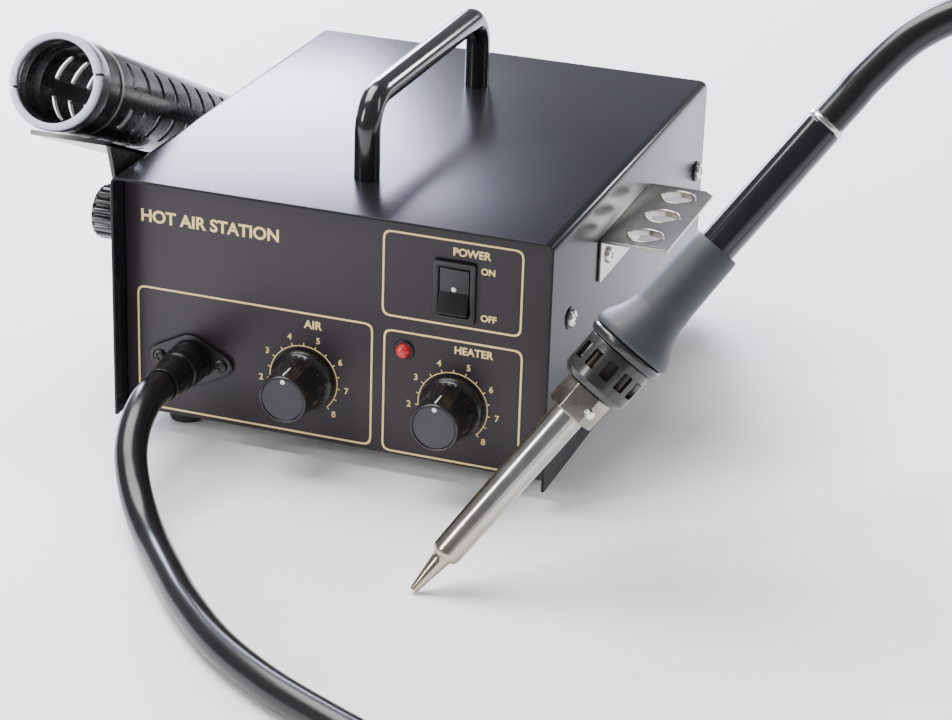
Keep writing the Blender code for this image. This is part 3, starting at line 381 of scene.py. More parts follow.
def keep_result(obj):
    """Applies what the object's modifiers make, and takes them away."""
    bpy.context.view_layer.update()
    graph = bpy.context.evaluated_depsgraph_get()
    mesh = bpy.data.meshes.new_from_object(obj.evaluated_get(graph))
    mesh.name = obj.name
    old = obj.data
    obj.modifiers.clear()
    obj.data = mesh
    bpy.data.meshes.remove(old)


TUBE = tube_group()


def tube(name, points, radius, material, sides=24):
    """A round rod or hose along points."""
    mesh = bpy.data.meshes.new(name)
    mesh.from_pydata(points, [(i, i + 1) for i in range(len(points) - 1)], [])
    obj = bpy.data.objects.new(name, mesh)
    scene.collection.objects.link(obj)
    run_group(obj, TUBE, {"Radius": radius, "Sides": sides, "Material": material})
    set_sharp(obj)
    return obj


def set_sharp(obj, angle=38.0):
    """Smooth shading, with creases kept where faces meet at more than the angle."""
    for face in obj.data.polygons:
        face.use_smooth = True
    obj.data.set_sharp_from_angle(angle=math.radians(angle))


HOSE_RUBBER = surface(
    "hose_rubber",
    (0.005, 0.005, 0.006),
    (0.011, 0.010, 0.011),
    (0.20, 0.30),
    60,
    coat=0.1,
    bump=0.03,
    specular=0.38,
)
hose_route = [hose_start, *(FRONT + Vector(place) for place in ROUTE), hose_end]
hose_line = smooth_line(hose_route, BEND_SAMPLES)
hose = tube("air_hose_piece", hose_line, HOSE_RADIUS, HOSE_RUBBER, 32)
hose_length = sum((b - a).length for a, b in zip(hose_line, hose_line[1:]))
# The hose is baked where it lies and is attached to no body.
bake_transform(hose)
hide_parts("air_hose")

# ---------------------------------------------------------------- case
# A folded steel cover in gloss black paint over a zinc plated tray, on four rubber feet.
# The front panel stands back from the cover's edge and has its own satin finish.


def add(name, mesh, material, body, slot, *stands_for, sharp=38.0):
    """Puts a finished piece in the scene: its body and the nodes it shows; slot is not used."""
    obj = bpy.data.objects.new(name, mesh)
    scene.collection.objects.link(obj)
    return settle(obj, material, body, slot, *stands_for, sharp=sharp)


def settle(obj, material, body, slot, *stands_for, sharp=38.0):
    obj.data.materials.clear()
    obj.data.materials.append(material)
    set_sharp(obj, sharp)
    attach(obj, body)
    if stands_for:
        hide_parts(*stands_for)
    return obj


TINY = 1e-6
# A rounded corner takes up at most this share of each side, and this flat a corner is left alone.
MOST_OF_SIDE = 0.45
NEARLY_STRAIGHT = math.radians(172)


def fillet(points, radius, closed=False):
    """The outline with each corner rounded to the radius, or less where there's no room."""
    count = len(points)
    rounded = []
    for i, point in enumerate(points):
        here = Vector(point)
        if not closed and i in (0, count - 1):
            rounded.append(here)
            continue
        before = Vector(points[i - 1]) - here
        after = Vector(points[(i + 1) % count]) - here
        reach = min(radius, before.length * MOST_OF_SIDE, after.length * MOST_OF_SIDE)
        if reach < TINY or before.angle(after) > NEARLY_STRAIGHT:
            rounded.append(here)
            continue
        start = here + before.normalized() * reach
        stop = here + after.normalized() * reach
        for step in (0.0, 0.25, 0.5, 0.75, 1.0):
            rest = 1 - step
            rounded.append(start * rest**2 + here * 2 * step * rest + stop * step**2)
    return rounded


def facing(place, toward):
    """The matrix that puts a piece's own +Z toward a direction, at a place."""
    turn = Vector(toward).to_track_quat("Z", "Y").to_matrix().to_4x4()
    return Matrix.Translation(place) @ turn


NO_FLUTES = (0, 0.0, 0.0, 0.0)


def lathe_mesh(name, profile, matrix, steps=72, hollow=False, soften=0.0004, flutes=NO_FLUTES):
    """A turned piece from (radius, height) down its outer side.

    soften rounds the profile's corners. flutes is a count and a depth, cut between two heights."""
    points = fillet(profile, soften, hollow) if soften else [Vector(point) for point in profile]
    count, depth, bottom, top = flutes
    shape = bmesh.new()
    rows = []
    for radius, height in points:
        if radius < TINY:
            rows.append([shape.verts.new((0, 0, height))])
            continue
        row = []
        for i in range(steps):
            turn = 2 * math.pi * i / steps
            wave = 0.0
            if count and bottom <= height <= top:
                wave = depth * (0.5 - 0.5 * math.cos(count * turn)) ** 2
            reach = radius - wave
            row.append(shape.verts.new((reach * math.cos(turn), reach * math.sin(turn), height)))
        rows.append(row)
    pairs = list(zip(rows, rows[1:]))
    if hollow:
        pairs.append((rows[-1], rows[0]))
    for upper, lower in pairs:
        for i in range(steps):
            j = (i + 1) % steps
            above = [upper[i % len(upper)], upper[j % len(upper)]]
            below = [lower[j % len(lower)], lower[i % len(lower)]]
            corners = list(dict.fromkeys(above + below))
            if len(corners) > 2:
                shape.faces.new(corners)
    bmesh.ops.recalc_face_normals(shape, faces=shape.faces)
    mesh = bpy.data.meshes.new(name)
    shape.to_mesh(mesh)
    shape.free()
    mesh.transform(matrix)
    return mesh


WELD = 0.000005


def outline_mesh(name, outline, thickness, matrix, holes=(), edge=0.00025):
    """A flat plate from its outline, holes being other outlines, with its edges eased by edge."""
    curve = bpy.data.curves.new(name, "CURVE")
    curve.dimensions = "2D"
    curve.fill_mode = "BOTH"
    curve.extrude = thickness / 2 - edge
    curve.bevel_depth = edge
    curve.bevel_resolution = 2
    curve.offset = -edge
    for points in (outline, *holes):
        spline = curve.splines.new("POLY")
        spline.points.add(len(points) - 1)
        for point, place in zip(spline.points, points):
            point.co = (place[0], place[1], 0.0, 1.0)
        spline.use_cyclic_u = True
    carrier = bpy.data.objects.new(name, curve)
    scene.collection.objects.link(carrier)
    bpy.context.view_layer.update()
    graph = bpy.context.evaluated_depsgraph_get()
    mesh = bpy.data.meshes.new_from_object(carrier.evaluated_get(graph))
    bpy.data.objects.remove(carrier)
    shape = bmesh.new()
    shape.from_mesh(mesh)
    bmesh.ops.remove_doubles(shape, verts=shape.verts, dist=WELD)
    bmesh.ops.recalc_face_normals(shape, faces=shape.faces)
    shape.to_mesh(mesh)
    shape.free()
    mesh.transform(matrix)
    return mesh


def box_mesh(name, low, high, edge=0.0):
    shape = bmesh.new()
    bmesh.ops.create_cube(shape, size=1.0)
    size = Vector(high) - Vector(low)
    place = Matrix.Translation((Vector(high) + Vector(low)) / 2) @ Matrix.Diagonal((*size, 1))
    bmesh.ops.transform(shape, matrix=place, verts=shape.verts)
    if edge:
        sides = shape.edges[:]
        bmesh.ops.bevel(shape, geom=sides, offset=edge, segments=3, profile=0.5, affect="EDGES")
    mesh = bpy.data.meshes.new(name)
    shape.to_mesh(mesh)
    shape.free()
    return mesh


def join_meshes(name, meshes):
    shape = bmesh.new()
    for mesh in meshes:
        shape.from_mesh(mesh)
        bpy.data.meshes.remove(mesh)
    joined = bpy.data.meshes.new(name)
    shape.to_mesh(joined)
    shape.free()
    return joined


# A cutter's own edges are eased by next to nothing.
CUTTER_EDGE = 0.00002


def cut(mesh, tool):
    """The mesh with the tool's mesh taken out of it."""
    body = bpy.data.objects.new(mesh.name, mesh)
    cutter = bpy.data.objects.new("cutter", tool)
    scene.collection.objects.link(body)
    scene.collection.objects.link(cutter)
    change = body.modifiers.new("cut", "BOOLEAN")
    change.solver = "EXACT"
    change.object = cutter
    keep_result(body)
    result = body.data
    bpy.data.objects.remove(body)
    bpy.data.objects.remove(cutter)
    bpy.data.meshes.remove(tool)
    return result


def circle(radius, count=48):
    turns = [2 * math.pi * i / count for i in range(count)]
    return [(radius * math.cos(turn), radius * math.sin(turn)) for turn in turns]


def round_rectangle(low, high, radius):
    corners = [(low[0], low[1]), (high[0], low[1]), (high[0], high[1]), (low[0], high[1])]
    return fillet(corners, radius, True)


# Turns a flat outline upright: its X and Y become the world's X and Z, and it faces the front.
UPRIGHT = Matrix(((1, 0, 0, 0), (0, 0, -1, 0), (0, 1, 0, 0), (0, 0, 0, 1)))
# Its X and Y become the world's Y and Z, and it faces the right.
SIDEWAYS = Matrix(((0, 0, 1, 0), (1, 0, 0, 0), (0, 1, 0, 0), (0, 0, 0, 1)))
FORWARD = Vector((0, -1, 0))
LEFT = Vector((-1, 0, 0))
RIGHT = Vector((1, 0, 0))

COVER_PAINT = surface(
    "cover_black_paint",
    (0.006, 0.006, 0.008),
    (0.010, 0.010, 0.013),
    (0.21, 0.27),
    14,
    bump=0.05,
    grain=1500,
    relief=0.00004,
    specular=0.21,
)
SHEET = 0.0012
BEND_OUTSIDE = 0.0039
BEND_INSIDE = 0.0024


def upright_at(y):
    return Matrix.Translation((0, y, 0)) @ UPRIGHT


def folded_sheet(low, high):
    """The cover's section: top and both sides, one sheet with round bends."""
    outer = [(low.x, low.z), (low.x, high.z), (high.x, high.z), (high.x, low.z)]
    inner = [
        (high.x - SHEET, low.z),
        (high.x - SHEET, high.z - SHEET),
        (low.x + SHEET, high.z - SHEET),
        (low.x + SHEET, low.z),
    ]
    return [*fillet(outer, BEND_OUTSIDE), *fillet(inner, BEND_INSIDE)]


cover_mesh = outline_mesh(
    "cover_piece",
    folded_sheet(cover_low, cover_high),
    cover_high.y - cover_low.y,
    upright_at((cover_high.y + cover_low.y) / 2),
    edge=0.0003,
)
add("cover_piece", cover_mesh, COVER_PAINT, "case", "black_paint", "cover")

PANEL_PAINT = surface(
    "panel_satin_paint",
    (0.018, 0.012, 0.016),
    (0.026, 0.018, 0.023),
    (0.32, 0.42),
    10,
    bump=0.10,
    grain=2200,
    relief=0.00006,
    specular=0.35,
)
panel_low, panel_high = edges("front_panel")
PANEL_FACE = panel_low.y
PANEL_CORNER = 0.0024
panel_outline = [
    (panel_low.x, panel_low.z),
    (panel_high.x, panel_low.z),
    (panel_high.x, panel_high.z - PANEL_CORNER),
    (panel_high.x - PANEL_CORNER, panel_high.z),
    (panel_low.x + PANEL_CORNER, panel_high.z),
    (panel_low.x, panel_high.z - PANEL_CORNER),
]
panel_mesh = outline_mesh(
    "front_panel_piece",
    panel_outline,
    panel_high.y - panel_low.y,
    upright_at((panel_low.y + panel_high.y) / 2),
    edge=0.0002,
)
add("front_panel_piece", panel_mesh, PANEL_PAINT, "case", "panel_paint", "front_panel")

FOOT_RUBBER = surface("foot_rubber", (0.02, 0.02, 0.02), (0.04, 0.04, 0.04), (0.75, 0.9), 120, bump=0.3)
for name in ("foot_front_left", "foot_front_right", "foot_rear_left", "foot_rear_right"):
    low, high = edges(name)
    middle = centre(name)
    radius = (high.x - low.x) / 2
    tall = high.z - low.z
    top = ((0, tall), (radius, tall))
    tread = ((radius * 0.86, 0.0008), (radius * 0.8, 0), (radius * 0.3, 0), (0, 0.001))
    standing = Matrix.Translation((middle.x, middle.y, low.z))
    mesh = lathe_mesh(f"{name}_piece", (*top, *tread), standing, 48)
    add(f"{name}_piece", mesh, FOOT_RUBBER, "case", "foot_rubber", name)

# ---------------------------------------------------------------- screws
# Cross-head pan screws: nickel plated in the walls and the rack, black in the hose's flange.

NICKEL = surface(
    "nickel_plate",
    (0.62, 0.60, 0.56),
    (0.74, 0.72, 0.68),
    (0.16, 0.26),
    300,
    metallic=1.0,
)
BLACK_SCREW = surface(
    "blackened_screw",
    (0.03, 0.03, 0.03),
    (0.06, 0.055, 0.05),
    (0.25, 0.35),
    300,
    metallic=0.7,
)
WASHER = surface("dark_washer", (0.02, 0.02, 0.02), (0.03, 0.03, 0.03), (0.45, 0.6), 200, bump=0.1)
COVER_SCREW_HEAD = 0.0036
WASHER_THICK = 0.0006
SCREW_TURN = math.radians(20)


def pan_screw(name, seat, toward, head, material, washer=False):
    """A domed head with a cross recess. head is its radius, seat the middle of its underside."""
    tall = head * 0.62
    turns = (1.45, 1.2, 0.9, 0.6, 0.3, 0.0)
    dome = [(head * math.cos(a), tall * (0.45 + 0.55 * math.sin(a))) for a in turns]
    profile = [(0, tall), *dome, (head, 0.0), (0, 0.0)]
    mesh = lathe_mesh(f"{name}_piece", profile, Matrix.Identity(4), 40, soften=0.0)
    arm, width = head * 0.55, head * 0.13
    half = [(arm, width), (width, width), (width, arm), (-width, arm), (-width, width), (-arm, width)]
    cross = [*half, *[(-x, -y) for x, y in half]]
    sunk = Matrix.Translation((0, 0, tall * 0.95))
    mesh = cut(mesh, outline_mesh("cross", cross, tall * 0.9, sunk, edge=CUTTER_EDGE))
    mesh.transform(facing(seat, toward) @ Matrix.Rotation(SCREW_TURN, 4, "Z"))
    if washer:
        rim, bore = head * 1.28, head * 0.5
        section = ((rim, WASHER_THICK), (rim, 0.0), (bore, 0.0), (bore, WASHER_THICK))
        ring = lathe_mesh(f"{name}_washer", section, facing(seat, toward), 40, True, 0.0002)
        add(f"{name}_washer", ring, WASHER, "case", "nickel")
        mesh.transform(Matrix.Translation(toward * WASHER_THICK))
    add(f"{name}_piece", mesh, material, "case", "nickel", name)


for side, wall, out in (("left", cover_low.x, LEFT), ("right", cover_high.x, RIGHT)):
    for end in ("front", "rear"):
        name = f"cover_screw_{end}_{side}"
        seat = Vector((wall, centre(name).y, centre(name).z))
        pan_screw(name, seat, out, COVER_SCREW_HEAD, NICKEL, True)

# ---------------------------------------------------------------- carry handle
# A bent round rod in gloss black plastic, standing on two posts in the middle of the cover, and
# screwed on from below.

HANDLE_PLASTIC = surface(
    "handle_gloss_black",
    (0.008, 0.008, 0.009),
    (0.014, 0.014, 0.015),
    (0.14, 0.22),
    30,
    coat=0.4,
    bump=0.02,
)
HANDLE_BEND = 0.0135
QUARTER = [math.radians(90 * i / 12) for i in range(13)]
handle_low, handle_high = edges("carry_handle")
handle_x = (handle_low.x + handle_high.x) / 2
rod = (handle_high.x - handle_low.x) / 2
front_y, rear_y = handle_low.y + rod, handle_high.y - rod
bend_z = handle_high.z - rod - HANDLE_BEND
handle_line = [(handle_x, front_y, handle_low.z)]
for y, first in ((front_y + HANDLE_BEND, math.pi), (rear_y - HANDLE_BEND, math.pi / 2)):
    for turned in QUARTER:
        across = HANDLE_BEND * math.cos(first - turned)
        rise = HANDLE_BEND * math.sin(first - turned)
        handle_line.append((handle_x, y + across, bend_z + rise))
handle_line.append((handle_x, rear_y, handle_low.z))
handle = tube("carry_handle_piece", handle_line, rod, HANDLE_PLASTIC, 40)
settle(handle, HANDLE_PLASTIC, "case", "gloss_plastic", "carry_handle", sharp=50)

# ---------------------------------------------------------------- print on the panel
# Thin gold ink: a frame round each set of controls, plain words, and the dials' ticks and figures.

GOLD_INK = surface("gold_ink", (0.88, 0.66, 0.24), (0.96, 0.76, 0.32), (0.35, 0.5), 200, bump=0.05)
INK = 0.00006
INK_EDGE = 0.00001
LINE = 0.0008
FRAME_CORNER = 0.0036
# A capital's height as a share of the type's size, and how much bolder words and figures are.
CAPITAL = 0.69
BOLD = 0.00012
MEDIUM = 0.0001
PLAIN = 0.00006


def on_panel(x, z):
    """Stands flat ink on the panel, x from the case's middle and z from the bench."""
    return Matrix.Translation((FRONT.x + x, PANEL_FACE - INK / 2, z)) @ UPRIGHT


def framed(low, high):
    outer = round_rectangle(low, high, FRAME_CORNER)
    inner_low = (low[0] + LINE, low[1] + LINE)
    inner_high = (high[0] - LINE, high[1] - LINE)
    inner = round_rectangle(inner_low, inner_high, FRAME_CORNER - LINE * 0.6)
    return outline_mesh("line", outer, INK, on_panel(0, 0), [inner], INK_EDGE)


def words(text, x, z, height, weight, align="CENTER"):
    """Plain words, height being that of a capital."""
    curve = bpy.data.curves.new("words", "FONT")
    curve.body = text
    curve.size = height / CAPITAL
    curve.align_x = align
    curve.align_y = "CENTER"
    curve.extrude = INK / 2
    curve.offset = weight
    carrier = bpy.data.objects.new("words", curve)
    scene.collection.objects.link(carrier)
    bpy.context.view_layer.update()
    graph = bpy.context.evaluated_depsgraph_get()
    mesh = bpy.data.meshes.new_from_object(carrier.evaluated_get(graph))
    bpy.data.objects.remove(carrier)
    mesh.transform(on_panel(x, z))
    return mesh


prints = [
    framed((-0.0870, 0.0108), (0.0165, 0.0645)),
    framed((0.0200, 0.0690), (0.0785, 0.1055)),
    framed((0.0210, 0.0100), (0.0795, 0.0635)),
    words("POWER", 0.0570, 0.1005, 0.0031, BOLD),
    words("ON", 0.0640, 0.0940, 0.0026, MEDIUM),
    words("OFF", 0.0648, 0.0744, 0.0026, MEDIUM),
    words("HEATER", 0.0590, 0.0590, 0.0031, BOLD),
    words("AIR", -0.0094, 0.0593, 0.0034, BOLD),
    words("HOT AIR STATION", -0.0850, 0.0950, 0.0050, 0.0002, "LEFT"),
]
DIAL_MARKS = 8
DIAL_SWEEP = math.radians(270)
DIAL_ZERO = math.radians(225)
FIGURE_RING = 0.0188
FIGURE_HEIGHT = 0.0026
dial_places = [(centre(knob).x - FRONT.x, centre(knob).z) for knob in ("air_knob", "heater_knob")]
for dial_x, dial_z in dial_places:
    for mark in range(DIAL_MARKS):
        turn = DIAL_ZERO - DIAL_SWEEP * mark / (DIAL_MARKS - 1)
        spot = (dial_x + FIGURE_RING * math.cos(turn), dial_z + FIGURE_RING * math.sin(turn))
        prints.append(words(str(mark + 1), *spot, FIGURE_HEIGHT, PLAIN))


def ring_group():
    """Repeats the object's own mesh round its Z axis, in rows along it."""
    tree = group(
        "repeat_round",
        (
            ("Count", "NodeSocketInt"),
            ("Rows", "NodeSocketInt"),
            ("Start", "NodeSocketFloat"),
            ("Step", "NodeSocketFloat"),
            ("Radius", "NodeSocketFloat"),
            ("Row Step", "NodeSocketFloat"),
            ("Material", "NodeSocketMaterial"),
        ),
    )
    given = inputs_of(tree)
    total = given["Count"] * given["Rows"]
    dots = node(tree, "GeometryNodeMeshLine", {}, {"Count": total, "Offset": (0, 0, 0)})
    index = node(tree, "GeometryNodeInputIndex")
    row = ((index + 0.5) / given["Count"]).floor()
    turn = given["Start"] + (index - row * given["Count"]) * given["Step"]
    radius = given["Radius"]
    ring = {0: radius * turn.cos(), 1: radius * turn.sin(), 2: row * given["Row Step"]}
    place = node(tree, "ShaderNodeCombineXYZ", {}, ring)
    spread = node(tree, "GeometryNodeSetPosition", {}, {"Geometry": dots, "Position": place})
    spin = node(tree, "ShaderNodeCombineXYZ", {}, {2: turn})
    copy_from = {"Points": spread, "Instance": given["Geometry"], "Rotation": spin}
    copies = node(tree, "GeometryNodeInstanceOnPoints", {}, copy_from)
    deliver(tree, node(tree, "GeometryNodeRealizeInstances", {}, {"Geometry": copies}))
    return tree


REPEAT = ring_group()


def repeated(item, material, count, start, step, radius, rows=1, row_step=0.0):
    """The item's mesh, repeated round Z. Its own +X points away from the axis."""
    obj = bpy.data.objects.new(item.name, item)
    scene.collection.objects.link(obj)
    values = {"Count": count, "Rows": rows, "Start": start, "Step": step, "Radius": radius}
    run_group(obj, REPEAT, {**values, "Row Step": row_step, "Material": material})
    mesh = obj.data
    bpy.data.objects.remove(obj)
    return mesh


TICKS = 2 * DIAL_MARKS - 1
TICK_STEP = DIAL_SWEEP / (TICKS - 1)
TICK_RING = 0.0152
TICK_HALF = Vector((0.0008, 0.0002, INK / 2))
BAND_OUTER = 0.0149
BAND_INNER = 0.0145
band_turns = [DIAL_ZERO - DIAL_SWEEP * i / 90 for i in range(91)]
band = [(BAND_OUTER * math.cos(turn), BAND_OUTER * math.sin(turn)) for turn in band_turns]
band += [(BAND_INNER * math.cos(turn), BAND_INNER * math.sin(turn)) for turn in reversed(band_turns)]
for dial_x, dial_z in dial_places:
    tick = box_mesh("tick", -TICK_HALF, TICK_HALF)
    ticks = repeated(tick, GOLD_INK, TICKS, DIAL_ZERO - DIAL_SWEEP, TICK_STEP, TICK_RING)
    ticks.transform(on_panel(dial_x, dial_z))
    prints.append(ticks)
    prints.append(outline_mesh("band", band, INK, on_panel(dial_x, dial_z), edge=INK_EDGE))
add("panel_print", join_meshes("panel_print", prints), GOLD_INK, "case", "panel_paint", sharp=30)

# ---------------------------------------------------------------- dials
# Black moulded knobs: a wide skirt, a fluted side, a flat face with a white dot for a pointer.

KNOB_PLASTIC = surface(
    "knob_black_plastic",
    (0.010, 0.009, 0.010),
    (0.014, 0.013, 0.015),
    (0.20, 0.26),
    60,
    coat=0.2,
    bump=0.02,
)
KNOB_FACE = surface(
    "knob_spun_face",
    (0.028, 0.025, 0.034),
    (0.040, 0.036, 0.047),
    (0.42, 0.55),
    60,
    bump=0.10,
)
WHITE_INK = surface("white_ink", (0.80, 0.80, 0.76), (0.88, 0.88, 0.84), (0.4, 0.5), 300, bump=0.03)
FACE_RADIUS = 0.0100
FACE_SUNK = 0.0006
KNOB_BORE = 0.0040
KNOB_HOLLOW = 0.0012
KNOB_FLUTES = 30
FLUTE_DEPTH = 0.0002
DOT_OUT = 0.0076
for name, body in (("air_knob", "air_dial"), ("heater_knob", "heater_dial")):
    low, high = edges(name)
    middle = centre(name)
    tall = high.y - low.y
    skirt = (high.x - low.x) / 2
    profile = (
        (0, tall - FACE_SUNK),
        (FACE_RADIUS - 0.0010, tall - FACE_SUNK),
        (FACE_RADIUS - 0.0008, tall),
        (FACE_RADIUS - 0.0003, tall),
        (FACE_RADIUS, tall - 0.0005),
        (FACE_RADIUS + 0.0014, 0.0050),
        (skirt - 0.0012, 0.0036),
        (skirt, 0.0024),
        (skirt, 0.0),
        (KNOB_BORE, 0.0),
        (KNOB_BORE, KNOB_HOLLOW),
        (0, KNOB_HOLLOW),
    )
    at = facing((middle.x, high.y, middle.z), FORWARD)
    flutes = (KNOB_FLUTES, FLUTE_DEPTH, 0.0046, tall - 0.0012)
    mesh = lathe_mesh(f"{name}_piece", profile, at, 240, flutes=flutes)
    add(f"{name}_piece", mesh, KNOB_PLASTIC, body, "knob_plastic", name, sharp=45)
    disc_at = facing((middle.x, low.y + FACE_SUNK, middle.z), FORWARD)
    disc_profile = ((0, 0.0003), (FACE_RADIUS - 0.0013, 0.0003), (FACE_RADIUS - 0.0010, 0.0), (0, 0.0))
    disc = lathe_mesh(f"{name}_face", disc_profile, disc_at, 64, soften=0.0001)
    add(f"{name}_face", disc, KNOB_FACE, body, "knob_plastic")
    dot_at = facing((middle.x, low.y + FACE_SUNK / 2, middle.z + DOT_OUT), FORWARD)
    dot_profile = ((0, 0.00012), (0.0009, 0.0001), (0.0010, 0), (0, 0))
    dot = lathe_mesh(f"{name}_dot", dot_profile, dot_at, 32, soften=0.0)
    add(f"{name}_dot", dot, WHITE_INK, body, "knob_plastic")
    edge_z = middle.z + FACE_RADIUS
    line = box_mesh(
        f"{name}_line",
        (middle.x - 0.0003, low.y + 0.0012, edge_z - 0.0001),
        (middle.x + 0.0003, high.y - 0.0060, edge_z + 0.0006),
        0.0001,
    )
    add(f"{name}_line", line, WHITE_INK, body, "knob_plastic")

# ---------------------------------------------------------------- power switch
# A rocker in a gloss black bezel, pressed in at the top, with a white dot at its middle.

SWITCH_PLASTIC = surface(
    "switch_gloss_plastic",
    (0.006, 0.006, 0.007),
    (0.012, 0.012, 0.013),
    (0.20, 0.28),
    80,
    bump=0.03,
    specular=0.4,
)
# Half widths and half heights of the opening and of the part behind the panel.
WELL = (0.0065, 0.0101)
BODY = (0.0081, 0.0119)
BEZEL_THICK = 0.0018
bezel_low, bezel_high = edges("power_switch_housing")
switch_middle = centre("power_switch_housing")
switch_middle.y = PANEL_FACE
bezel_half = ((bezel_high.x - bezel_low.x) / 2, (bezel_high.z - bezel_low.z) / 2)


def switch_ring(name, half, corner, thick, y, well_corner, edge):
    """A frame round the switch's opening, its own middle at depth y."""
    outer = round_rectangle((-half[0], -half[1]), half, corner)
    well = round_rectangle((-WELL[0], -WELL[1]), WELL, well_corner)
    place = Matrix.Translation((switch_middle.x, y, switch_middle.z)) @ UPRIGHT
    return outline_mesh(name, outer, thick, place, [well], edge)


bezel = switch_ring("bezel", bezel_half, 0.0014, BEZEL_THICK, PANEL_FACE - 0.0010, 0.0005, 0.0005)
shaft_deep = bezel_high.y - PANEL_FACE
shaft = switch_ring("shaft", BODY, 0.0005, shaft_deep, PANEL_FACE + shaft_deep / 2, 0.0004, 0.0001)
add(
    "power_switch_piece",
    join_meshes("power_switch_piece", [bezel, shaft]),
    SWITCH_PLASTIC,
    "case",
    "switch_plastic",
    "power_switch_housing",
)
# The rocker's side is an arc round its pin, with a shallow dip between its two pressing ends.
ROCKER_RADIUS = 0.0098
ROCKER_FACE = 0.0030
ROCKER_DIP = 0.0014
THROW = math.radians(16)
face_turn = math.acos(ROCKER_FACE / ROCKER_RADIUS)
rocker_side = [Vector((-ROCKER_DIP, 0.0))]
for i in range(41):
    turn = math.pi - face_turn - (2 * math.pi - 2 * face_turn) * i / 40
    rocker_side.append(Vector((ROCKER_RADIUS * math.cos(turn), ROCKER_RADIUS * math.sin(turn))))
lean = Matrix.Rotation(-THROW / 2, 2)
rocker_side = [lean @ point for point in fillet(rocker_side, 0.0009, True)]
rocker_low, rocker_high = edges("power_rocker")
rocker_at = Matrix.Translation(switch_middle) @ SIDEWAYS
rocker_wide = rocker_high.x - rocker_low.x
rocker = outline_mesh("power_rocker_piece", rocker_side, rocker_wide, rocker_at, edge=0.0004)
add("power_rocker_piece", rocker, SWITCH_PLASTIC, "power_switch", "switch_plastic", "power_rocker")
mark_at = facing(switch_middle + Vector((0, -0.0019, 0.0012)), FORWARD)
mark_profile = ((0, 0.0003), (0.0010, 0.0002), (0.0010, -0.0006), (0, -0.0006))
mark = lathe_mesh("rocker_mark", mark_profile, mark_at, 32)
add("rocker_mark", mark, WHITE_INK, "power_switch", "switch_plastic")

# ---------------------------------------------------------------- heater lamp
# A red lens in a thin black ring. It glows, because the station is on.

LENS = surface(
    "red_lens",
    (0.40, 0.008, 0.014),
    (0.55, 0.02, 0.03),
    (0.16, 0.24),
    400,
    coat=0.2,
    bump=0.02,
)
GLOW = (1.0, 0.08, 0.10)
GLOW_STRENGTH = 0.12
LENS_COLLAR = 0.0010
LENS_BEHIND = 0.0050
lens_shader = LENS.node_tree.nodes["Principled BSDF"]
lens_shader.inputs["Emission Color"].default_value = colour(GLOW)
lens_shader.inputs["Emission Strength"].default_value = GLOW_STRENGTH
lens_low, lens_high = edges("heater_lamp_lens")
lens_middle = centre("heater_lamp_lens")
lamp_at = facing((lens_middle.x, PANEL_FACE, lens_middle.z), FORWARD)
lens_r = (lens_high.x - lens_low.x) / 2
proud = PANEL_FACE - lens_low.y
rise = proud - LENS_COLLAR
dome = [
    (lens_r * math.cos(turn), LENS_COLLAR + rise * math.sin(turn))
    for turn in (1.35, 1.1, 0.85, 0.6, 0.3, 0.0)
]
lens_profile = [(0, proud), *dome, (lens_r, -LENS_BEHIND), (0, -LENS_BEHIND)]
lens = lathe_mesh("lamp_lens_piece", lens_profile, lamp_at, 48, soften=0.0)
add("lamp_lens_piece", lens, LENS, "case", "red_lens", "heater_lamp_lens")
rim_bore = lens_r + 0.0002
rim_profile = ((rim_bore, 0.001), (lens_r + 0.0011, 0.0008), (lens_r + 0.0014, 0.0), (rim_bore, 0.0))
rim = lathe_mesh("lamp_bezel_piece", rim_profile, lamp_at, 48, hollow=True, soften=0.0002)
add("lamp_bezel_piece", rim, SWITCH_PLASTIC, "case", "switch_plastic", "heater_lamp_bezel")

# ---------------------------------------------------------------- hose gland
# An oval flange with two black screws holds a rubber boot, which narrows onto the hose.

# The oval is two ears round the screws, joined by tangents to a wider middle.
EAR = 0.0050
OVAL = 0.0112
FLANGE_BORE = 0.0078
FLANGE_SCREW_HEAD = 0.0029
flange_low, flange_high = edges("hose_flange")
reach = centre("flange_screw_right").x - boot_middle.x
tangent = math.acos((OVAL - EAR) / reach)
oval = []
for x, radius, first, last in (
    (reach, EAR, -tangent, tangent),
    (0.0, OVAL, tangent, math.pi - tangent),
    (-reach, EAR, math.pi - tangent, math.pi + tangent),
    (0.0, OVAL, math.pi + tangent, 2 * math.pi - tangent),
):
    for i in range(13):
        turn = first + (last - first) * i / 12
        oval.append((x + radius * math.cos(turn), radius * math.sin(turn)))
flange = outline_mesh(
    "hose_flange_piece",
    oval,
    flange_high.y - flange_low.y,
    Matrix.Translation(centre("hose_flange")) @ UPRIGHT,
    [circle(FLANGE_BORE)],
    0.0004,
)
add("hose_flange_piece", flange, SWITCH_PLASTIC, "case", "switch_plastic", "hose_flange")
for side in ("left", "right"):
    middle = centre(f"flange_screw_{side}")
    seat = Vector((middle.x, flange_low.y, middle.z))
    pan_screw(f"flange_screw_{side}", seat, FORWARD, FLANGE_SCREW_HEAD, BLACK_SCREW)

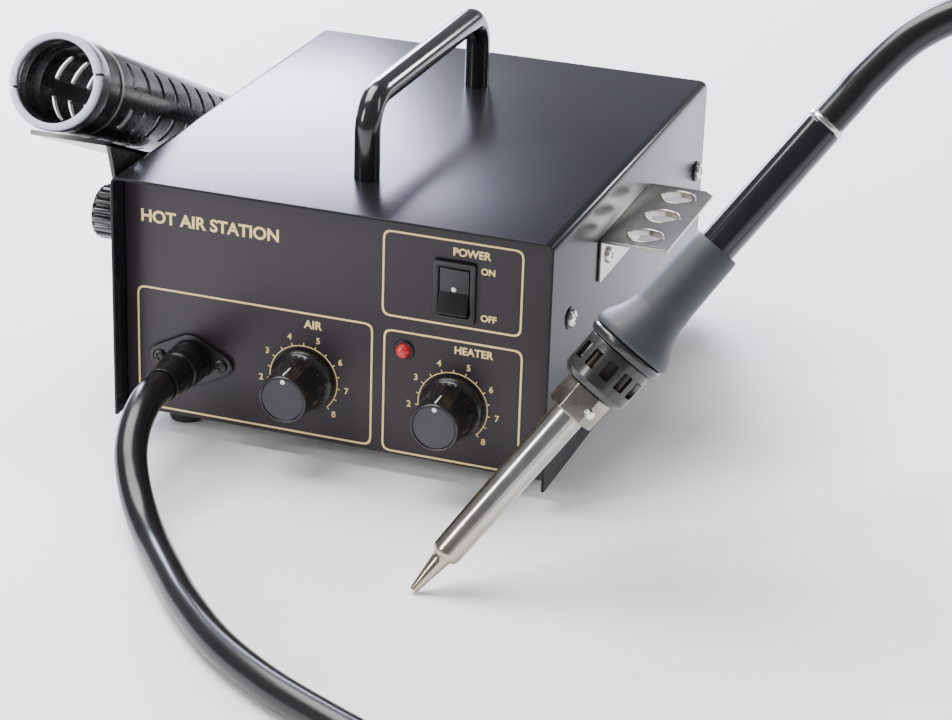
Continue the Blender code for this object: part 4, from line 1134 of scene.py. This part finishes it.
BOOT_BORE = 0.0066
boot_length = flange_low.y - boot_low.y
boot_profile = [
    (BOOT_BORE, boot_length),
    (0.0073, boot_length),
    (0.0076, boot_length * 0.70),
    (0.0080, boot_length * 0.66),
    (0.0082, boot_length * 0.52),
    (0.0077, boot_length * 0.50),
    (0.0077, boot_length * 0.47),
    (0.0084, boot_length * 0.45),
    (0.0086, boot_length * 0.30),
    (0.0089, boot_length * 0.28),
    (0.0089, 0.0002),
    (BOOT_BORE, 0.0002),
]
boot_at = facing((boot_middle.x, flange_low.y, boot_middle.z), FORWARD)
boot = lathe_mesh("hose_boot_piece", boot_profile, boot_at, hollow=True)
add("hose_boot_piece", boot, HOSE_RUBBER, "case", "hose_rubber", "hose_boot", sharp=50)
# The hose goes on inside the boot.
TAIL_DEEP = 0.0290
tail_line = [hose_start + Vector((0, inward, 0)) for inward in (TAIL_DEEP, 0.0002)]
hose_tail = tube("hose_in_boot", tail_line, HOSE_RADIUS - 0.0001, HOSE_RUBBER, 32)
settle(hose_tail, HOSE_RUBBER, "case", "hose_rubber")

# ---------------------------------------------------------------- nozzle rack
# A folded strip of brushed stainless, screwed to the right wall, with three rolled holes.

STAINLESS = surface(
    "brushed_stainless",
    (0.34, 0.32, 0.29),
    (0.50, 0.48, 0.44),
    (0.20, 0.28),
    40,
    stretch=(6.0, 0.5, 6.0),
    metallic=1.0,
    bump=0.05,
    grain=700,
    relief=0.00008,
)
RACK_SHEET = 0.0011
RACK_HOLES = (0.0731, 0.0975, 0.1219)
RACK_HOLE_X = 0.1091
HOLE_RADIUS = 0.0072
CHAMFER = 0.0045
RACK_SCREW_HEAD = 0.0034
rack_low, rack_high = edges("nozzle_rack")
rack_section = [
    (rack_low.x, rack_low.z),
    (rack_low.x, rack_high.z),
    (rack_high.x, rack_high.z),
    (rack_high.x, rack_high.z - RACK_SHEET),
    (rack_low.x + RACK_SHEET, rack_high.z - RACK_SHEET),
    (rack_low.x + RACK_SHEET, rack_low.z),
]
rack = outline_mesh(
    "nozzle_rack_piece",
    rack_section,
    rack_high.y - rack_low.y,
    upright_at((rack_low.y + rack_high.y) / 2),
    edge=0.00015,
)
corner_tool = box_mesh("corner", (-CHAMFER * 0.7, -0.01, -0.005), (0.01, 0.01, 0.005))
corner_tool.transform(Matrix.Translation(rack_high) @ Matrix.Rotation(math.pi / 4, 4, "Z"))
rack = cut(rack, corner_tool)
drill = ((0, 0.005), (HOLE_RADIUS, 0.005), (HOLE_RADIUS, -0.005), (0, -0.005))
rolled_edge = (
    (HOLE_RADIUS, 0.0003),
    (HOLE_RADIUS + 0.0007, 0.0001),
    (HOLE_RADIUS + 0.0002, -0.0006),
    (HOLE_RADIUS + 0.0002, -0.0026),
    (HOLE_RADIUS - 0.0004, -0.0026),
    (HOLE_RADIUS - 0.0004, 0.0),
)
rims = []
for y in RACK_HOLES:
    spot = Matrix.Translation((FRONT.x + RACK_HOLE_X, FRONT.y + y, rack_high.z))
    rack = cut(rack, lathe_mesh("hole", drill, spot, 64, soften=0.0))
    rims.append(lathe_mesh("rolled", rolled_edge, spot, 64, hollow=True, soften=0.0003))
rack = join_meshes("nozzle_rack_piece", [rack, *rims])
add("nozzle_rack_piece", rack, STAINLESS, "case", "stainless", "nozzle_rack")
for end in ("front", "rear"):
    middle = centre(f"rack_screw_{end}")
    seat = Vector((rack_low.x + RACK_SHEET, middle.y, middle.z))
    pan_screw(f"rack_screw_{end}", seat, RIGHT, RACK_SCREW_HEAD, NICKEL)

# ---------------------------------------------------------------- handset holder
# A funnel whose lip carries a pale painted highlight, a black collar and a slotted sleeve, of thin
# steel. They lie on a folded bracket that tilts on a clamp bolt in the left wall.

TILT = math.radians(24)
DOWN_AXIS = Vector((0, math.cos(TILT), -math.sin(TILT)))
FUNNEL_END = 0.0110
COLLAR_END = 0.0240
SLEEVE_END = 0.1950
MOUTH_RADIUS = 0.0202
COLLAR_RADIUS = 0.0190
TAIL_RADIUS = 0.0166
WALL = 0.0012
MOUTH = centre("holder_collar") - DOWN_AXIS * (FUNNEL_END + COLLAR_END + GAP) / 2
mouth_at = facing(MOUTH, -DOWN_AXIS)
# The pale lavender of the lip is a painted highlight of the light on the rim, not the enamel's own
# colour.
LIP_PAINTED_HIGHLIGHT = surface(
    "holder_lip_painted_highlight",
    (0.50, 0.49, 0.62),
    (0.62, 0.61, 0.74),
    (0.22, 0.32),
    50,
    coat=0.3,
)
# Only the lip is pale, a painted highlight of the light on its rim: a couple of millimetres in, the
# colour turns to the dark of the collar.
PAINTED_HIGHLIGHT_TO = 0.0006
DARK_FROM = 0.0022
DARK_ENAMEL = (0.040, 0.034, 0.034)
lip_tree = LIP_PAINTED_HIGHLIGHT.node_tree
lip_colour = lip_tree.nodes["Principled BSDF"].inputs["Base Color"]
lip_highlight_paint = Wire(lip_tree, lip_colour.links[0].from_socket)
lip_range = {0: run_along(lip_tree, MOUTH, DOWN_AXIS), 1: PAINTED_HIGHLIGHT_TO, 2: DARK_FROM}
lip_depth = node(lip_tree, "ShaderNodeMapRange", {}, lip_range)
feed(lip_tree, lip_colour, mix(lip_tree, lip_depth, lip_highlight_paint, colour(DARK_ENAMEL)))
HOLDER_BLACK = surface(
    "holder_black_enamel",
    (0.009, 0.007, 0.007),
    (0.018, 0.014, 0.014),
    (0.22, 0.32),
    60,
    coat=0.15,
    bump=0.06,
)
funnel = lathe_mesh(
    "holder_funnel_piece",
    (
        (MOUTH_RADIUS - 0.0006, 0.0),
        (MOUTH_RADIUS, -0.0010),
        (MOUTH_RADIUS, -0.0030),
        (COLLAR_RADIUS + 0.0006, -FUNNEL_END),
        (COLLAR_RADIUS - WALL, -FUNNEL_END),
        (COLLAR_RADIUS - WALL, -0.0050),
        (MOUTH_RADIUS - 0.0032, -0.0030),
        (MOUTH_RADIUS - 0.0032, 0.0),
    ),
    mouth_at,
    128,
    hollow=True,
)
NOTCH_TURN = math.radians(15)
notch = box_mesh("notch", (-0.03, -0.0006, -0.0040), (0.03, 0.0006, 0.0020))
notch.transform(mouth_at @ Matrix.Rotation(NOTCH_TURN, 4, "Z"))
add("holder_funnel_piece", cut(funnel, notch), LIP_PAINTED_HIGHLIGHT, "holder", "holder_lip", "holder_funnel")
collar_mesh = lathe_mesh(
    "holder_collar_piece",
    (
        (COLLAR_RADIUS, -FUNNEL_END - GAP),
        (COLLAR_RADIUS, -COLLAR_END + 0.0010),
        (COLLAR_RADIUS, -COLLAR_END),
        (COLLAR_RADIUS - WALL, -COLLAR_END),
        (COLLAR_RADIUS - WALL, -FUNNEL_END - GAP),
    ),
    mouth_at,
    128,
    hollow=True,
    soften=0.0002,
)
add("holder_collar_piece", collar_mesh, HOLDER_BLACK, "holder", "holder_metal", "holder_collar")
EDGE_METAL = surface(
    "bare_edge",
    (0.45, 0.42, 0.40),
    (0.60, 0.56, 0.52),
    (0.25, 0.35),
    200,
    metallic=0.8,
)
flange_ring = lathe_mesh(
    "holder_flange_ring",
    (
        (COLLAR_RADIUS + 0.0008, -COLLAR_END + 0.0012),
        (COLLAR_RADIUS + 0.0008, -COLLAR_END + 0.0002),
        (COLLAR_RADIUS + 0.0001, -COLLAR_END + 0.0002),
        (COLLAR_RADIUS + 0.0001, -COLLAR_END + 0.0012),
    ),
    mouth_at,
    128,
    hollow=True,
    soften=0.0002,
)
add("holder_flange_ring", flange_ring, EDGE_METAL, "holder", "holder_metal")
sleeve = lathe_mesh(
    "holder_sleeve_piece",
    (
        (COLLAR_RADIUS, -COLLAR_END - GAP),
        (TAIL_RADIUS, -SLEEVE_END),
        (TAIL_RADIUS - WALL, -SLEEVE_END),
        (COLLAR_RADIUS - WALL, -COLLAR_END - GAP),
    ),
    Matrix.Identity(4),
    144,
    hollow=True,
    soften=0.0003,
)
SLOT_ROWS = 6
SLOTS = 10
SLOT_PITCH = 0.0150
FIRST_SLOT = 0.0130
SLOT_DEEP = 0.0140
# A slot is long across the holder's axis and is cut inwards, so its plate stands on edge.
slot_outline = round_rectangle((-0.0060, -0.0019), (0.0060, 0.0019), 0.0022)
slots = repeated(
    outline_mesh("slot", slot_outline, SLOT_DEEP, SIDEWAYS, edge=CUTTER_EDGE),
    HOLDER_BLACK,
    SLOT_ROWS,
    math.pi / SLOT_ROWS,
    2 * math.pi / SLOT_ROWS,
    COLLAR_RADIUS - 0.0030,
    SLOTS,
    -SLOT_PITCH,
)
slots.transform(Matrix.Translation((0, 0, -COLLAR_END - FIRST_SLOT)))
sleeve = cut(sleeve, slots)
sleeve.transform(mouth_at)
add("holder_sleeve_piece", sleeve, HOLDER_BLACK, "holder", "holder_metal", "holder_sleeve")

pivot = centre("holder_knob")
bracket_low, bracket_high = edges("holder_bracket")
PLATE = 0.0020
DROP = MOUTH_RADIUS + GAP
BOSS_RADIUS = 0.0092
SHELF_LENGTH = 0.088


def along_holder(distance, drop):
    """A place (y, z) by distance down the holder and drop below its axis."""
    across = Vector((0, -math.sin(TILT), -math.cos(TILT)))
    place = MOUTH + DOWN_AXIS * distance + across * drop
    return place.y, place.z


boss = [
    (pivot.y + BOSS_RADIUS * math.cos(turn), pivot.z + BOSS_RADIUS * math.sin(turn))
    for turn in (math.radians(20 - 220 * i / 24) for i in range(25))
]
arm = [along_holder(0.0040, DROP), along_holder(0.0600, DROP), along_holder(0.0560, DROP + 2 * PLATE)]
plate = outline_mesh(
    "plate",
    [*arm, *boss],
    PLATE,
    Matrix.Translation((bracket_high.x - PLATE / 2, 0, 0)) @ SIDEWAYS,
    edge=0.0003,
)
shelf_ends = ((0.0, 0.0), (SHELF_LENGTH, 0.0), (SHELF_LENGTH, PLATE), (0.0, PLATE))
shelf = outline_mesh(
    "shelf",
    [along_holder(distance, DROP + under) for distance, under in shelf_ends],
    bracket_high.x - bracket_low.x,
    Matrix.Translation(((bracket_low.x + bracket_high.x) / 2, 0, 0)) @ SIDEWAYS,
    edge=0.0004,
)
bracket = join_meshes("holder_bracket_piece", [plate, shelf])
add("holder_bracket_piece", bracket, HOLDER_BLACK, "holder", "holder_metal", "holder_bracket")

CLAMP_LOBES = 16
LOBE_DEPTH = 0.0014
knob_low, knob_high = edges("holder_knob")
clamp_deep = knob_high.x - knob_low.x
clamp_r = (knob_high.z - knob_low.z) / 2
clamp_profile = (
    (0, clamp_deep - 0.0010),
    (clamp_r * 0.55, clamp_deep - 0.0010),
    (clamp_r * 0.62, clamp_deep),
    (clamp_r - 0.0012, clamp_deep),
    (clamp_r, clamp_deep - 0.0014),
    (clamp_r, 0.0012),
    (clamp_r - 0.0008, 0.0),
    (0, 0.0),
)
clamp = lathe_mesh(
    "holder_knob_piece",
    clamp_profile,
    facing((knob_high.x, pivot.y, pivot.z), LEFT),
    288,
    flutes=(CLAMP_LOBES, LOBE_DEPTH, 0.0004, clamp_deep - 0.0008),
)
add("holder_knob_piece", clamp, HANDLE_PLASTIC, "holder_clamp", "knob_plastic", "holder_knob", sharp=50)

# ---------------------------------------------------------------- hot air handset
# From the tip: a steel nozzle, a polished pipe over the heater, a union nut, a vented black nose
# and its ring, a soft grey grip, a gloss black handle, and a bright bushing at the hose.

hand_at = facing(TIP, AXIS)


def turned_piece(name, profile, material, slot, steps=96, soften=0.0004):
    """A hollow turned piece of the handset, from (radius, distance from the tip)."""
    mesh = lathe_mesh(f"{name}_piece", profile, hand_at, steps, True, soften)
    add(f"{name}_piece", mesh, material, "handset", slot, name)


# Polished steel that has coloured where it runs hottest, near the nozzle.
PIPE_STEEL = surface(
    "heater_pipe_steel",
    (0.36, 0.345, 0.31),
    (0.52, 0.50, 0.46),
    (0.14, 0.26),
    120,
    metallic=1.0,
    bump=0.06,
    grain=1400,
)
HEAT_TINT = (0.36, 0.27, 0.16)
HEAT_REACH = 0.055
HEAT_FALL = 1.5
HEAT_SHARE = 0.55
pipe_tree = PIPE_STEEL.node_tree
pipe_colour = pipe_tree.nodes["Principled BSDF"].inputs["Base Color"]
bare_steel = Wire(pipe_tree, pipe_colour.links[0].from_socket)
near_tip = 1.0 - run_along(pipe_tree, TIP, AXIS) / HEAT_REACH
heat = near_tip.math("MAXIMUM", near_tip, 0.0).power(HEAT_FALL) * HEAT_SHARE
feed(pipe_tree, pipe_colour, mix(pipe_tree, heat, bare_steel, colour(HEAT_TINT)))
turned_piece(
    "nozzle_tip",
    (
        (0.0043, NOZZLE_END + 0.0040),
        (0.0043, NOZZLE_END),
        (0.0040, NOZZLE_END - 0.0002),
        (0.0036, NOZZLE_END - 0.0016),
        (0.0017, 0.0010),
        (0.0015, 0.0),
        (0.0009, 0.0),
        (0.0013, 0.0080),
        (0.0034, NOZZLE_END),
        (0.0034, NOZZLE_END + 0.0040),
    ),
    PIPE_STEEL,
    "stainless",
    soften=0.0002,
)
turned_piece(
    "heater_pipe",
    (
        (0.0065, PIPE_END + 0.0080),
        (0.0065, PIPE_END - 0.0010),
        (0.0061, 0.0320),
        (0.0059, NOZZLE_END + 0.0018),
        (0.0050, NOZZLE_END + GAP),
        (0.0046, NOZZLE_END + GAP),
        (0.0047, NOZZLE_END + 0.0060),
        (0.0055, NOZZLE_END + 0.0100),
        (0.0057, PIPE_END + 0.0080),
    ),
    PIPE_STEEL,
    "stainless",
    soften=0.0008,
)
NUT_CORNERS = 0.0100
NUT_BORE = 0.0067
NUT_EDGE = 0.0006
nut = outline_mesh(
    "union_nut_piece",
    fillet(circle(NUT_CORNERS, 6), NUT_EDGE, True),
    NUT_END - PIPE_END,
    hand_at @ Matrix.Translation((0, 0, (PIPE_END + NUT_END) / 2)),
    [circle(NUT_BORE)],
    NUT_EDGE,
)
NUT_STEEL = surface(
    "union_nut_steel",
    (0.20, 0.18, 0.155),
    (0.40, 0.37, 0.32),
    (0.20, 0.34),
    160,
    metallic=1.0,
    bump=0.15,
)
add("union_nut_piece", nut, NUT_STEEL, "handset", "stainless", "union_nut")
# A small set screw stands square out of the nut, on the side toward the front right.
LUG_ALONG = 0.0935
LUG_OUT = 0.0085
lug_way = Vector((0.62, -0.78, -0.05))
lug_way = (lug_way - AXIS * lug_way.dot(AXIS)).normalized()
lug_at = facing(TIP + AXIS * LUG_ALONG + lug_way * LUG_OUT, lug_way)
lug_profile = ((0, 0.0030), (0.0015, 0.0030), (0.0018, 0.0026), (0.0018, -0.001), (0, -0.001))
lug = lathe_mesh("nut_set_screw", lug_profile, lug_at, 32)
add("nut_set_screw", lug, NICKEL, "handset", "stainless")

NOSE_BLACK = surface(
    "nose_black_plastic",
    (0.010, 0.010, 0.010),
    (0.020, 0.019, 0.019),
    (0.22, 0.34),
    90,
    coat=0.25,
    bump=0.06,
)
NOSE_RADIUS = 0.0139
nose = lathe_mesh(
    "vented_nose_piece",
    (
        (NOSE_RADIUS, NOSE_END),
        (NOSE_RADIUS, NUT_END + 0.0026),
        (0.0120, NUT_END + GAP),
        (0.0068, NUT_END + GAP),
        (0.0068, NUT_END + 0.0030),
        (0.0118, NUT_END + 0.0046),
        (0.0118, NOSE_END),
    ),
    Matrix.Identity(4),
    120,
    hollow=True,
)
VENTS = 12
VENT_DEEP = 0.0070
VENT_FORWARD = 0.0015
vent_outline = round_rectangle((-0.0022, -0.0036), (0.0022, 0.0036), 0.0006)
vent_item = outline_mesh("vent", vent_outline, VENT_DEEP, SIDEWAYS, edge=CUTTER_EDGE)
vents = repeated(vent_item, NOSE_BLACK, VENTS, 0.0, 2 * math.pi / VENTS, NOSE_RADIUS)
vents.transform(Matrix.Translation((0, 0, (NUT_END + NOSE_END) / 2 + VENT_FORWARD)))
nose = cut(nose, vents)
nose.transform(hand_at)
add("vented_nose_piece", nose, NOSE_BLACK, "handset", "gloss_plastic", "vented_nose")
# A dark steel sleeve shows through the vents.
LINER = surface(
    "nose_liner",
    (0.04, 0.035, 0.03),
    (0.10, 0.09, 0.08),
    (0.4, 0.6),
    200,
    metallic=0.8,
    bump=0.1,
)
liner_front, liner_back = NUT_END + 0.0060, NOSE_END - 0.0005
liner = lathe_mesh(
    "nose_liner",
    ((0.0100, liner_back), (0.0100, liner_front), (0.0085, liner_front), (0.0085, liner_back)),
    hand_at,
    64,
    hollow=True,
)
add("nose_liner", liner, LINER, "handset", "gloss_plastic")
turned_piece(
    "nose_ring",
    (
        (0.0150, NOSE_RING_END),
        (0.0158, NOSE_RING_END - 0.0012),
        (0.0150, NOSE_END + GAP),
        (0.0075, NOSE_END + GAP),
        (0.0075, NOSE_RING_END),
    ),
    NOSE_BLACK,
    "gloss_plastic",
    soften=0.0006,
)
GRIP_RUBBER = surface(
    "grip_grey_rubber",
    (0.030, 0.034, 0.037),
    (0.046, 0.051, 0.056),
    (0.46, 0.58),
    70,
    bump=0.25,
    grain=1600,
    specular=0.4,
)
# The grip's outer line, from behind: a long gentle taper, a narrow neck and a flare in front.
turned_piece(
    "grip",
    (
        (0.0093, GRIP_END - 0.0002),
        (0.0096, 0.1680),
        (0.0098, 0.1560),
        (0.0101, 0.1450),
        (0.0106, 0.1380),
        (0.0118, 0.1335),
        (0.0134, 0.1300),
        (0.0150, 0.1272),
        (0.0160, 0.1248),
        (0.0162, 0.1232),
        (0.0158, HANDLE_START),
        (0.0075, HANDLE_START),
        (0.0075, GRIP_END - 0.0002),
    ),
    GRIP_RUBBER,
    "grip_rubber",
    steps=120,
    soften=0.0008,
)
HANDLE_GLOSS = surface(
    "handle_tube_gloss",
    (0.006, 0.006, 0.007),
    (0.011, 0.011, 0.013),
    (0.12, 0.20),
    60,
    coat=0.2,
    bump=0.01,
    specular=0.4,
)
turned_piece(
    "handle_tube",
    (
        (0.0070, HANDLE_END),
        (0.0073, HANDLE_END - 0.0006),
        (0.0073, GRIP_END + 0.0050),
        (0.0073, HANDLE_START),
        (0.0050, HANDLE_START),
        (0.0050, HANDLE_END),
    ),
    HANDLE_GLOSS,
    "gloss_plastic",
)
turned_piece(
    "hose_bushing",
    (
        (0.0066, BUSHING_END),
        (0.0075, BUSHING_END - 0.0004),
        (0.0076, HANDLE_END + GAP),
        (0.0050, HANDLE_END + GAP),
        (0.0050, BUSHING_END),
    ),
    NICKEL,
    "nickel",
    soften=0.0003,
)

# ---------------------------------------------------------------- what stays as it is in the model
# The tray and rear panel in zinc plate, the handle's screws, and the works inside the case: valve,
# pump, transformer and board. These nodes keep their own meshes and take a finish only.

ZINC = surface(
    "zinc_plate",
    (0.46, 0.45, 0.41),
    (0.60, 0.59, 0.55),
    (0.32, 0.46),
    30,
    metallic=1.0,
    bump=0.06,
    grain=700,
)
CASTING = surface(
    "pump_casting",
    (0.34, 0.35, 0.36),
    (0.44, 0.45, 0.46),
    (0.45, 0.6),
    200,
    metallic=0.9,
    bump=0.3,
)
LAMINATE = surface("board_laminate", (0.02, 0.15, 0.06), (0.03, 0.22, 0.09), (0.3, 0.45), 150, bump=0.1)
TAPE = surface("coil_tape", (0.62, 0.42, 0.08), (0.78, 0.58, 0.14), (0.4, 0.55), 90, bump=0.2)
CERAMIC = surface("heater_ceramic", (0.70, 0.68, 0.62), (0.84, 0.82, 0.76), (0.6, 0.75), 200, bump=0.2)
SILICONE = surface("silicone_tube", (0.66, 0.64, 0.58), (0.78, 0.76, 0.70), (0.3, 0.4), 90, bump=0.05)
finishes = {
    "chassis_tray": ZINC,
    "rear_panel": ZINC,
    "handle_screw_front": NICKEL,
    "handle_screw_rear": NICKEL,
    "air_valve_body": CASTING,
    "heater_potentiometer": NICKEL,
    "air_valve_stem": STAINLESS,
    "heater_shaft": STAINLESS,
    "holder_bolt": ZINC,
    "holder_nut": ZINC,
    "air_pump": CASTING,
    "transformer_core": ZINC,
    "transformer_coil": TAPE,
    "circuit_board": LAMINATE,
    "board_spacer_1": NICKEL,
    "board_spacer_2": NICKEL,
    "inner_air_tube": SILICONE,
    "mains_inlet": SWITCH_PLASTIC,
    "fuse_holder": SWITCH_PLASTIC,
    "heating_element": CERAMIC,
}
for name, finish in finishes.items():
    nodes[name].data.materials.clear()
    nodes[name].data.materials.append(finish)
